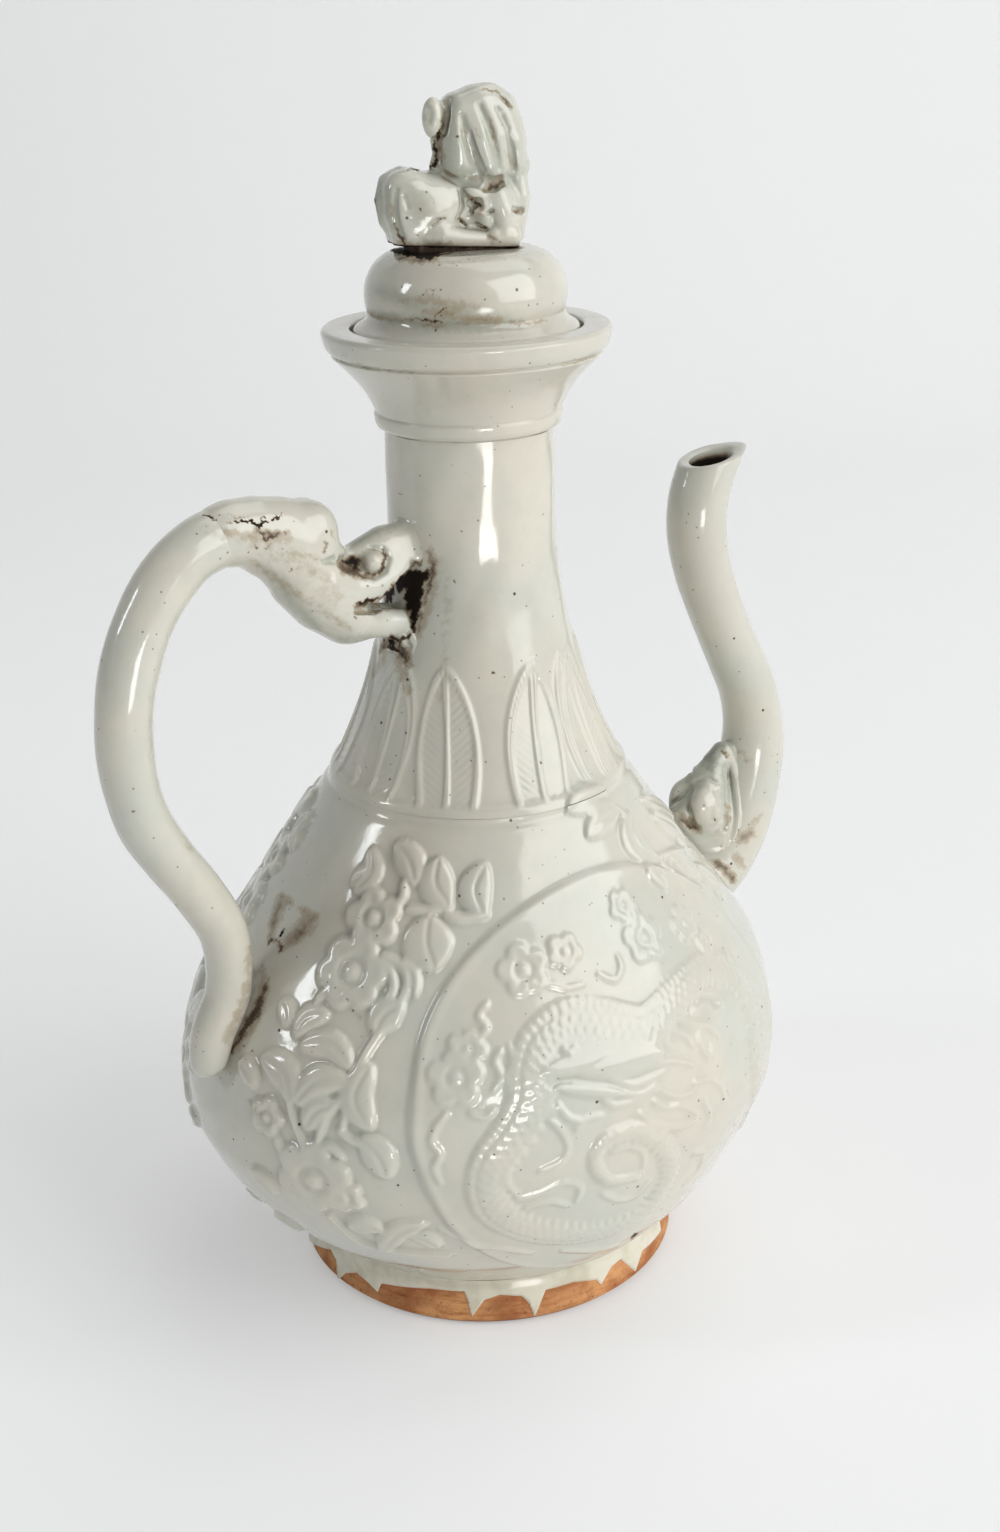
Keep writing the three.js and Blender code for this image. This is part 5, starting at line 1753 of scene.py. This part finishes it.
lion_box = ((-19, -10.5, -3), (19, 13, 36))
lion_form = (
    # Rump: a smooth block with the tail laid up its back
    ("limbs", ((402, 191, -2.6), (404, 212, -2.8), (410, 232, -2.6)), (4.6, 4.9, 4.4), 2),
    ("limbs", ((414, 190, -2.6), (438, 204, -3)), (4.6, 4.2), 2),
    ("limbs", ((412, 230, -3), (440, 230, -3.2)), (4.3, 4), 2),
    ("balls", ((428, 212, -4.4),), (6.9, 3.9, 7.4), 1.2),
    ("limb", ((399, 240, 0), (388, 220, 0), (385, 200, 0), (388, 183, 0), (400, 174, 0)),
     (1.8, 2.3, 2.5, 2.4, 1.8), 1),
    # Back, chest and shoulders
    ("limb", ((430, 196, 0), (462, 196, 0), (492, 196, 0)), (5.6, 5.8, 6), 2),
    ("limbs", ((478, 196, -2.6), (498, 206, -2.8), (500, 224, -2.6)), (4.6, 4.6, 4.2), 1.5),
    # Hind feet, forelegs and paws
    ("limbs", ((430, 236, -5.6), (442, 235, -6), (462, 238, -6), (484, 239, -5.6)),
     (2.4, 2.7, 2.1, 1.9), 0.8),
    ("limbs", ((404, 241, -2.6), (450, 240, -3.4), (506, 240, -3)), (2.4, 2.6, 2.6), 1),
    ("limbs", ((470, 192, -4.6), (480, 208, -5.2), (484, 222, -5)), (2.4, 2.3, 1.9), 0.9),
    ("limb", ((456, 214, 0), (478, 216, 0), (498, 216, 0)), (5.6, 5.6, 5.6), 1.5),
    ("limbs", ((497, 196, -4.8), (503, 214, -5), (503, 232, -5)), (3, 2.8, 2.7), 0.8),
    ("limbs", ((494, 236, -5.4), (510, 236, -5)), (2.6, 2.8), 0.7),
    ("limbs", ((517, 180, -1.4), (519, 196, -1.4), (518, 214, -1.4), (514, 232, -1.6)),
     (2.5, 2.7, 2.3, 2.6), 1.2),
    ("limbs", ((406, 247, -3.6), (450, 246, -4.1), (500, 245, -4), (509, 245, -3)), (2.3, 2.4, 2.5, 2.5), 1),
    # Head and mane in one tall oval
    ("limbs", ((460, 112, -1.8), (458, 136, -2.2), (458, 160, -2)), (4.4, 4.7, 4.2), 2),
    ("limbs", ((478, 106, -1.8), (484, 136, -2.6), (488, 164, -2.4)), (4.6, 5.1, 4.6), 2),
    ("limbs", ((498, 112, -1.8), (508, 140, -2.2), (512, 160, -2)), (4, 3.8, 3.4), 2),
    ("ball", ((480, 134, 0),), (8.6, 7.2, 10.4), 1.5),
    # Locks of the mane: shallow grooves that sweep back and down
    ("groove", ((462, 116), (466, 134), (472, 154), (480, 176)), (0.4, 0.9, 0.9, 0.5), 1.4),
    ("groove", ((480, 106), (488, 124), (494, 144), (500, 168)), (0.4, 0.8, 0.9, 0.6), 1.4),
    ("groove", ((497, 108), (502, 116), (508, 128)), (0.3, 0.7, 0.5), 1),
    ("groove", ((508, 134), (512, 150), (514, 170)), (0.3, 0.7, 0.5), 1),
    ("groove", ((470, 132), (476, 152), (484, 170)), (0.2, 0.4, 0.3), 0.8),
    ("groove", ((449, 100), (446, 116), (443, 132)), (0.5, 1, 1), 0.8),
    ("groove", ((446, 176), (462, 184), (478, 184), (488, 178)), (0.6, 0.8, 0.8, 0.5), 1),
    # Ear, curls behind it, and curls before the chest
    ("ball", ((433, 118, -2.2),), (2.6, 2.6, 4.6), 0.5),
    ("limb", ((440, 112, -0.5), (440, 128, -0.5)), (2.6, 2.4), 1),
    ("limb", ((436, 140, -0.5), (438, 154, -0.5), (436, 166, -0.5)), (1.4, 1.3, 1.6), 0.8),
    ("groove", ((430, 112), (429, 122)), (0.5, 0.4), 1, -0.1),
    ("limb", ((490, 98, -0.6), (502, 106, -0.6), (512, 122, -0.6), (518, 142, -0.6)), (3.2, 3.2, 2.6, 2), 2),
    ("groove", ((497, 93), (504, 99), (511, 108)), (0.3, 0.6, 0.4), 0.6),
    ("ball", ((521, 164, -0.8),), (2, 3, 3), 0.8), ("ball", ((510, 122, -1.9),), (2, 2, 2.2), 0.6),
    ("ball", ((515, 135, -1.9),), (2, 2, 2.2), 0.6), ("ball", ((517, 149, -1.9),), (2, 2, 2.2), 0.6))
# Face on the far side, from the muzzle to the cheeks: rows of centre, radii and softness
lion_face = (
    ((3.2, 6.6, 18.6), (5.2, 4, 3.1), 1), ((3, 5.6, 15.4), (4.2, 3.6, 1.7), 0.5),
    ((3.4, 10.2, 20.2), (2, 1.3, 1.4), 0.5), ((0.4, 7, 23.4), (1.5, 1.4, 1.5), 0.3),
    ((6.4, 6.8, 23.4), (1.5, 1.4, 1.5), 0.3), ((0, 6.6, 25.6), (2.6, 1.7, 1.2), 0.5),
    ((7, 6.4, 25.6), (2.6, 1.7, 1.2), 0.5), ((-1, 5.4, 18), (2.2, 2.2, 2.2), 0.6),
    ((8.2, 4.6, 18), (2.2, 2.2, 2.2), 0.6), ((-1.4, 4.8, 22.4), (2, 2.2, 2.2), 0.6),
    ((8.8, 3.8, 22.4), (1.8, 2.2, 2.2), 0.6), ((-0.6, 5.6, 14), (2, 2, 2), 0.6),
    ((7.6, 5.2, 14), (2, 2, 2), 0.6), ((3.2, 5.2, 11.6), (3, 2.4, 2.4), 0.8))
lion_mouth = ((-1.4, 9.6, 16.6), (3.2, 10.8, 17), (7.8, 9.4, 16.6))
lion_mouth_radii = (0.6, 0.7, 0.6)
lion_mouth_soft = 0.3
lion_crevices = (
    ("groove", ((438, 138), (437, 152), (436, 163)), (1.2, 1.3, 1.1), 0.6, -0.2),
    ("groove", ((396, 190), (394, 208), (397, 226), (403, 241)), (0.4, 0.8, 0.8, 0.7), 1),
    ("groove", ((404, 196), (408, 208)), (0.2, 0.2), 1),
    ("groove", ((485, 188), (493, 185), (501, 181)), (1, 1.8, 1.4), 0.5),
    ("groove", ((460, 190), (466, 197), (472, 203)), (0.5, 0.8, 1), 0.5),
    ("groove", ((471, 203), (478, 203), (481, 207)), (1.1, 1.3, 0.8), 0.5),
    ("groove", ((475, 206), (470, 214)), (0.8, 0.4), 0.5),
    ("groove", ((432, 226), (437, 221), (445, 219)), (0.4, 0.6, 0.3), 0.5),
    ("groove", ((457, 218), (461, 222), (465, 226)), (0.4, 0.6, 0.4), 0.5),
    ("groove", ((477, 225), (486, 229)), (0.6, 0.4), 0.5),
    ("groove", ((489, 213), (492, 211)), (0.6, 0.5), 0.5),
    ("groove", ((514, 209), (522, 211)), (0.7, 0.8), 0.5),
    ("groove", ((460, 194), (462, 206), (458, 216)), (0.3, 0.5, 0.3), 0.5))
# The clay runs down over the base with an uneven, slanting lower edge
lion_edge = 2.1
lion_dirt_edge = 1.7
lion_edge_slope = 0.06
lion_edge_waves = ((0.15, 0.9, 1), (0.1, 2.3, 0))
lion_near_limit = 2
lion_far_hollow = 0.3
lion_hollow_reach = 1.5
lion_hollow_dirt = 0.45
lion_hollow_start = 0.5
joint_dirt = 2
joint_soft = 0.3
lion_dirt_and_shade = (
    # Black behind the ear, down the nape and over the rump: painted shade in the crevices, with dirt
    (1.9, 2, (441, 128, 0.6), (439, 134, 1.8), (437, 139, 1.8)),
    (1.9, 2, (434, 141, 1), (435, 150, 1.8), (437, 158, 1.2), (434, 164, 2.6)),
    (1.8, 1.6, (435, 165, 2), (428, 168, 1.6), (418, 169, 1), (408, 169, 0.4)),
    (1.2, 2, (443, 116, 1), (442, 128, 2)), (0.7, 3, (450, 92, 1), (447, 102, 2), (445, 112, 2)),
    (0.8, 4, (438, 140, 4), (440, 160, 3)), (0.7, 2, (443, 150, 1.5), (444, 158, 1.5)),
    # Between chin and shoulder: painted shade in the hole under the chin
    (1.3, 2.8, (485, 190, 1), (491, 188, 2.6), (496, 186, 3), (501, 182, 2)),
    (0.9, 3, (484, 192, 2), (500, 179, 4)), (0.55, 6, (466, 178, 3), (482, 180, 4), (500, 176, 4)),
    # Creases of the legs darkened with painted shade, and brown spots of dirt
    (1.4, 1.4, (470, 198, 0.8), (472, 201, 1)),
    (1.35, 1.8, (474, 203, 1.4), (479, 204, 1.8), (481, 208, 1)),
    (1.3, 1.4, (474, 206, 0.8), (470, 213, 0.6)), (1.6, 0.8, (468, 216, 0.9)),
    (0.8, 4, (464, 190, 1), (470, 198, 3), (479, 205, 4), (482, 216, 2)),
    (1.4, 1, (489, 213, 0.8), (493, 211, 1)), (1.2, 0.9, (432, 226, 0.8), (437, 221, 1.2), (445, 218, 0.6)),
    (1.5, 1.1, (457, 218, 0.6), (461, 221, 0.9), (465, 226, 0.9)),
    (1.5, 1.1, (476, 224, 0.6), (480, 226, 1), (486, 229, 0.9)),
    (0.7, 3, (466, 226, 1), (470, 229, 1.5), (474, 228, 1)),
    (1.2, 1.4, (394, 222, 1), (397, 230, 1.5), (402, 240, 2)),
    (1.6, 1.4, (398, 232, 0.6), (402, 238, 1), (405, 243, 1)), (0.7, 3, (391, 204, 1.5), (392, 216, 2.5)),
    (1.1, 3, (512, 212, 1.5), (517, 211, 3), (522, 212, 1)), (0.9, 3, (488, 237, 2), (496, 238, 2)),
    (0.6, 5, (505, 150, 2), (514, 166, 3)),
    # Locks of the mane and the ear's slit: painted shade in the grooves, with dirt
    (0.6, 3, (460, 116, 1.5), (464, 132, 2), (472, 152, 2), (478, 172, 1)),
    (0.85, 2, (489, 116, 0.8), (492, 128, 2), (494, 138, 1.5)), (0.5, 3, (494, 138, 2), (499, 158, 2)),
    (0.5, 3, (470, 120, 1), (478, 134, 1.5), (482, 150, 1)),
    (0.9, 1.2, (478, 89, 0.6), (488, 90, 1.2), (497, 91, 1)),
    (1.15, 2.2, (496, 92, 0.8), (503, 98, 1.8), (508, 104, 1.4), (512, 109, 0.8)),
    (1.4, 0.8, (457, 136, 1.2)), (1.8, 0.8, (421, 209, 1.3)), (1.2, 0.8, (419, 236, 1.2)),
    (0.9, 4, (398, 243, 2), (420, 246, 2), (450, 243, 2)))
lion_shade = (
    (1.15, 9, (452, 104, 7), (450, 130, 9), (452, 168, 8)),
    (1, 8, (464, 170, 5), (482, 172, 5), (500, 170, 4)),
    (1, 8, (388, 190, 5), (390, 215, 6), (400, 236, 4)),
    (0.9, 14, (412, 190, 8), (420, 215, 12), (432, 236, 6)), (0.85, 7, (470, 214, 5), (484, 220, 6)),
    (1, 5, (430, 106, 2), (427, 120, 2)))


def make_lion():
    clay = Clay(*lion_box, lion_cell)
    sculpt(clay, lion_form, on_lion, lion_sight)
    for centre, radii, soft in lion_face:
        clay.add(clay.ball(centre, radii), soft)
    clay.cut(clay.limb(lion_mouth, lion_mouth_radii), lion_mouth_soft)
    sculpt(clay, lion_crevices, on_lion, lion_sight)
    edge = lion_edge + lion_edge_slope * clay.x
    for size, turns, start in lion_edge_waves:
        edge = edge + size * np.sin(clay.x * turns + start)
    clay.field = np.maximum(clay.field, -(clay.z + edge).astype(np.float32))
    points, faces = clay.mesh()
    hollow = clay.marks(points, lion_hollow_reach)
    places = lion_place(points)
    near = points[:, 1] < lion_near_limit
    stain_and_shade = lion_hollow_dirt * np.clip(hollow - lion_hollow_start, 0, 1)
    stain_and_shade = np.maximum(stain_and_shade, np.where(near, paint(places, lion_dirt_and_shade, False), 0))
    # Painted shade: the shade strokes on the near side, an even amount on the far side
    hollow = np.maximum(hollow, np.where(near, paint(places, lion_shade, False), lion_far_hollow))
    # Black dirt in the joint under the lion
    low = lion_dirt_edge + lion_edge_slope * points[:, 0]
    stain_and_shade = np.maximum(stain_and_shade, joint_dirt * step_edge(-points[:, 2] - low, -joint_soft, joint_soft))
    make_piece("seated_lion", places, faces, glaze, LID, ("lion_body", "lion_head"),
               marks={"hollow": hollow, "stain_and_shade": stain_and_shade}, sharp=180)


make_lion()

# Base under the lion, in millimetres: its profile is rows of width and height, both as shares
plinth_half_length = 12.2
plinth_half_width = 6.6
plinth_sides = 160
plinth_power = 0.35
plinth_profile_shares = ((0.6, 0), (0.97, 0), (1, 0.3), (1, 0.62), (0.98, 0.85), (0.94, 1), (0.6, 1))
# Waves of the edge: share, count round the base and start
plinth_waves = ((0.018, 7, 1), (0.01, 12, 0))
plinth_dirt = 1.5


def make_plinth():
    """Thin base under the lion, with the soft uneven edge of pressed clay."""
    angles = np.linspace(0, 2 * np.pi, plinth_sides, endpoint=False)
    x = plinth_half_length * np.sign(np.cos(angles)) * np.abs(np.cos(angles)) ** plinth_power
    y = plinth_half_width * np.sign(np.sin(angles)) * np.abs(np.sin(angles)) ** plinth_power
    uneven = 1 - sum(size * (1 + np.sin(angles * count + start)) for size, count, start in plinth_waves)
    height = (plinth_high[2] - plinth_low[2]) / MM
    rings = []
    for share, up in plinth_profile_shares:
        level = np.full(plinth_sides, (up - 1) * height)
        rings.append(lion_place(np.stack([x * share * uneven, y * share * uneven, level], axis=1)))
    points, faces = capped_tube(rings)
    marks = {"stain_and_shade": np.full(len(points), plinth_dirt)}
    make_piece("lion_base", points, faces, glaze, LID, ("finial_plinth",), marks=marks, sharp=60)


make_plinth()

# Beast mask that holds the spout's root
mask_box = ((58, -17, 66), (112, 17, 130))
mask_form = (
    # Crest between tube and body, and cheeks
    ("limb", ((722, 752, 0), (715, 764, 0), (707, 783, 0), (703, 808, 0), (714, 840, 0), (724, 864, 0)),
     (3.2, 3.9, 6, 7.8, 7.6, 7), 3),
    ("balls", ((705, 810, -4.4),), (5.2, 3.9, 6.8), 2.6, 10),
    ("limb", ((684, 818, 0), (695, 834, 0), (708, 852, 0)), (5, 5, 5), 2))
whisker_pixels = ((726, 749), (731, 760), (735, 776), (737, 796), (738, 814), (736, 830), (733, 840))
whisker_radii = (1.2, 1.5, 1.5, 1.4, 1.4, 1.3, 0.8)
whisker_depth = 0.5
whisker_soft = 0.9
mask_grooves = (
    # Beside the whisker, round the cheek, the eye's hollow and the folds under the chin
    ("grooves", ((724, 768), (727, 784), (727, 800), (727, 816), (725, 830)), (0.3, 0.5, 0.6, 0.6, 0.3), 1.4),
    ("grooves", ((692, 788), (689, 800), (690, 814), (694, 826)), (0.3, 0.4, 0.5, 0.5), 1.2),
    ("grooves", ((696, 780), (708, 778), (718, 784)), (0.3, 0.4, 0.3), 1),
    ("grooves", ((686, 823), (692, 827), (699, 828)), (0.5, 0.8, 0.5), 0.8),
    ("grooves", ((714, 862), (722, 860), (728, 864)), (0.6, 0.9, 0.5), 0.6),
    ("grooves", ((741, 830), (743, 840), (750, 844)), (0.6, 0.7, 0.4), 0.6))
root_rows = 34
root_soft = 3
mask_wall_soft = 2.4
bore_soft = 0.01
tube_overlap = 0.5
bore_clearance = 1.6
mask_depth_in_wall = 2
mask_dirt = (
    (1.4, 4, (682, 821, 2), (690, 826, 3), (698, 829, 1.5)),
    (0.9, 5, (680, 813, 3), (687, 822, 6), (698, 829, 5)),
    (0.8, 4, (727, 804, 1.5), (728, 818, 3), (726, 828, 2)),
    (0.34, 14, (712, 770, 8), (716, 830, 14), (734, 860, 10)), (1, 1.5, (723, 752, 2), (728, 757, 1.5)),
    (0.9, 6, (743, 748, 4), (748, 757, 5), (743, 764, 3)), (1.6, 0.9, (753, 763, 1.3)),
    (2, 1.5, (741, 830, 1.8), (743, 835, 3), (747, 840, 1.8)), (1, 4, (742, 838, 7), (750, 842, 4)),
    (0.5, 6, (752, 822, 5), (758, 818, 4)),
    (1.3, 3, (713, 864, 2), (721, 867, 3), (728, 873, 3), (732, 880, 2)),
    (1.15, 4, (714, 860, 4), (723, 860, 5), (726, 874, 5), (731, 880, 4)),
    (1.5, 1.5, (727, 870, 2), (731, 879, 2)), (0.7, 5, (738, 860, 5)),
    (0.8, 2, (720, 846, 1), (724, 854, 1.5)), (1.6, 0.8, (715, 820, 1.2)), (1.6, 0.8, (757, 773, 1.2)),
    (1.6, 0.8, (754, 795, 1.2)))
mask_shade = (
    (1.5, 9, (720, 742, 5), (712, 754, 8), (710, 768, 9)), (1.3, 8, (710, 768, 7), (700, 782, 5)),
    (1.2, 7, (724, 764, 4), (725, 790, 4), (727, 816, 3)), (1.2, 8, (684, 788, 4), (679, 806, 4)),
    (0.8, 6, (712, 774, 4), (722, 786, 3)))


def make_mask():
    clay = Clay(*mask_box, sculpt_cell)
    sculpt(clay, mask_form)
    # Soft joints with the tube and with the wall of the body
    root = smooth_line(spout_line, 3)[:root_rows]
    clay.add(clay.tube(root, -tube_overlap), root_soft)
    outside = clay.from_wall()
    clay.add(outside + wall_overlap, mask_wall_soft)
    # Whisker that runs down the tube, and its lower part on the far side
    whisker = [clay.touch(*own_sight(*pixel), whisker_depth) for pixel in whisker_pixels]
    clay.add(clay.limb(whisker, whisker_radii), whisker_soft)
    lower = [(p[0], -p[1], p[2]) for p in whisker[2:]]
    clay.add(clay.limb(lower, whisker_radii[2:]), whisker_soft)
    sculpt(clay, mask_grooves)
    # It stays out of the spout's bore and stops inside the body's wall
    clay.cut(clay.tube(root, -bore_clearance), bore_soft)
    clay.field = np.maximum(clay.field, -outside - mask_depth_in_wall)
    finish_clay("spout_root_mask", clay, ("spout_mask",), mask_dirt, mask_shade, 1.6)


make_mask()

# Stage: a pale floor that bends up into a wall, whose sizes follow the ewer's foot
stage_reach = 30 * foot_radius
stage_front = 4 * stage_reach
stage_half_width = 3 * stage_reach
stage_wall = 26 * foot_radius
stage_bend = 8 * foot_radius
stage_patch_size = 400 * MM
stage_colours = ((243, 244, 245), (246, 246, 245))
# What the camera, reflections and refractions see of it is evened out
seen_stage_colour = (206, 207, 208)
seen_stage_glow = 0.29


def make_stage_material():
    n = Nodes("backdrop")
    cool, warm = stage_colours
    colour = n.mix(n.span(n.noise(stage_patch_size, 2), 0.3, 0.7), linear(*cool), linear(*warm))
    path = n.tree.nodes.new("ShaderNodeLightPath").outputs
    reflected = n.math("MAXIMUM", path["Is Glossy Ray"], path["Is Transmission Ray"])
    looked_at = n.math("MAXIMUM", path["Is Camera Ray"], reflected)
    n.set(Base_Color=n.mix(looked_at, colour, linear(*seen_stage_colour)), Roughness=0.9,
          Specular_IOR_Level=0.1, Emission_Color=linear(255, 255, 255),
          Emission_Strength=n.times(looked_at, seen_stage_glow))
    return n.material


def make_stage():
    rows = [(-stage_front, 0), (-stage_reach, 0)]
    for angle in np.linspace(0, math.pi / 2, 24):
        rows.append((stage_wall - stage_bend * (1 - math.sin(angle)), stage_bend * (1 - math.cos(angle))))
    rows.append((stage_wall, stage_reach))
    points = []
    for out, up in rows:
        for right in (-stage_half_width, stage_half_width):
            points.append(tuple(out * room_away + right * room_side + up * UP))
    faces = [(2 * i, 2 * i + 1, 2 * i + 3, 2 * i + 2) for i in range(len(rows) - 1)]
    mesh = bpy.data.meshes.new("backdrop")
    mesh.from_pydata(points, [], faces)
    mesh.shade_smooth()
    mesh.materials.append(make_stage_material())
    add_object("backdrop", mesh)


make_stage()

# Lamps: name, place to the right, towards the camera and up, height aimed at, width, height, power
# and colour
lamp_rows = (
    ("window", (0.28096, 0.69539, 0.056), 0.156, 0.2, 0.13, 0.85, (1, 0.99, 0.96)),
    ("far_window", (-0.86933, 0.23294, 0.63), 0.208, 0.14, 0.3, 1.5, (0.92, 0.97, 1)),
    ("right_softbox", (1.5, 0.8, 0.98), 0.13, 1.7, 1.8, 29, (1, 1, 1)),
    ("top_softbox", (0.45, -0.5, 1.83), 0.13, 1.4, 1.4, 8, (1, 1, 1)))
# The room is cool on the left, warm and dim behind the camera and bright on the right
room_colours = (
    (0, (0.31, 0.325, 0.335, 1)), (0.28, (0.21, 0.21, 0.205, 1)), (0.52, (0.17, 0.162, 0.152, 1)),
    (0.75, (0.34, 0.33, 0.32, 1)), (1, (0.6, 0.6, 0.59, 1)))


def make_lamp(name, place, aim_height, width, height, power, colour):
    data = bpy.data.lights.new(name, "AREA")
    data.shape = "RECTANGLE"
    data.size = width
    data.size_y = height
    data.energy = power
    data.color = colour
    right, back, up = place
    lamp = add_object(name, data)
    lamp.location = Vector(right * room_side - back * room_away + up * UP)
    look = Vector(aim_height * UP) - lamp.location
    lamp.rotation_euler = look.to_track_quat("-Z", "Y").to_euler()


def make_room():
    world = bpy.data.worlds.new("room")
    bpy.context.scene.world = world
    world.use_nodes = True
    tree = world.node_tree
    coordinates = tree.nodes.new("ShaderNodeTexCoord")
    dot = tree.nodes.new("ShaderNodeVectorMath")
    dot.operation = "DOT_PRODUCT"
    dot.inputs[1].default_value = Vector(room_side)
    spread = tree.nodes.new("ShaderNodeMapRange")
    spread.inputs["From Min"].default_value = -1
    spread.inputs["From Max"].default_value = 1
    ramp = tree.nodes.new("ShaderNodeValToRGB")
    elements = ramp.color_ramp.elements
    elements[0].color = room_colours[0][1]
    elements[1].color = room_colours[-1][1]
    for place, colour in room_colours[1:-1]:
        elements.new(place).color = colour
    tree.links.new(coordinates.outputs["Generated"], dot.inputs[0])
    tree.links.new(dot.outputs["Value"], spread.inputs["Value"])
    tree.links.new(spread.outputs["Result"], ramp.inputs["Fac"])
    tree.links.new(ramp.outputs["Color"], tree.nodes["Background"].inputs["Color"])
    bpy.context.scene.view_settings.view_transform = "Standard"


for row in lamp_rows:
    make_lamp(*row)
make_room()
make_camera()
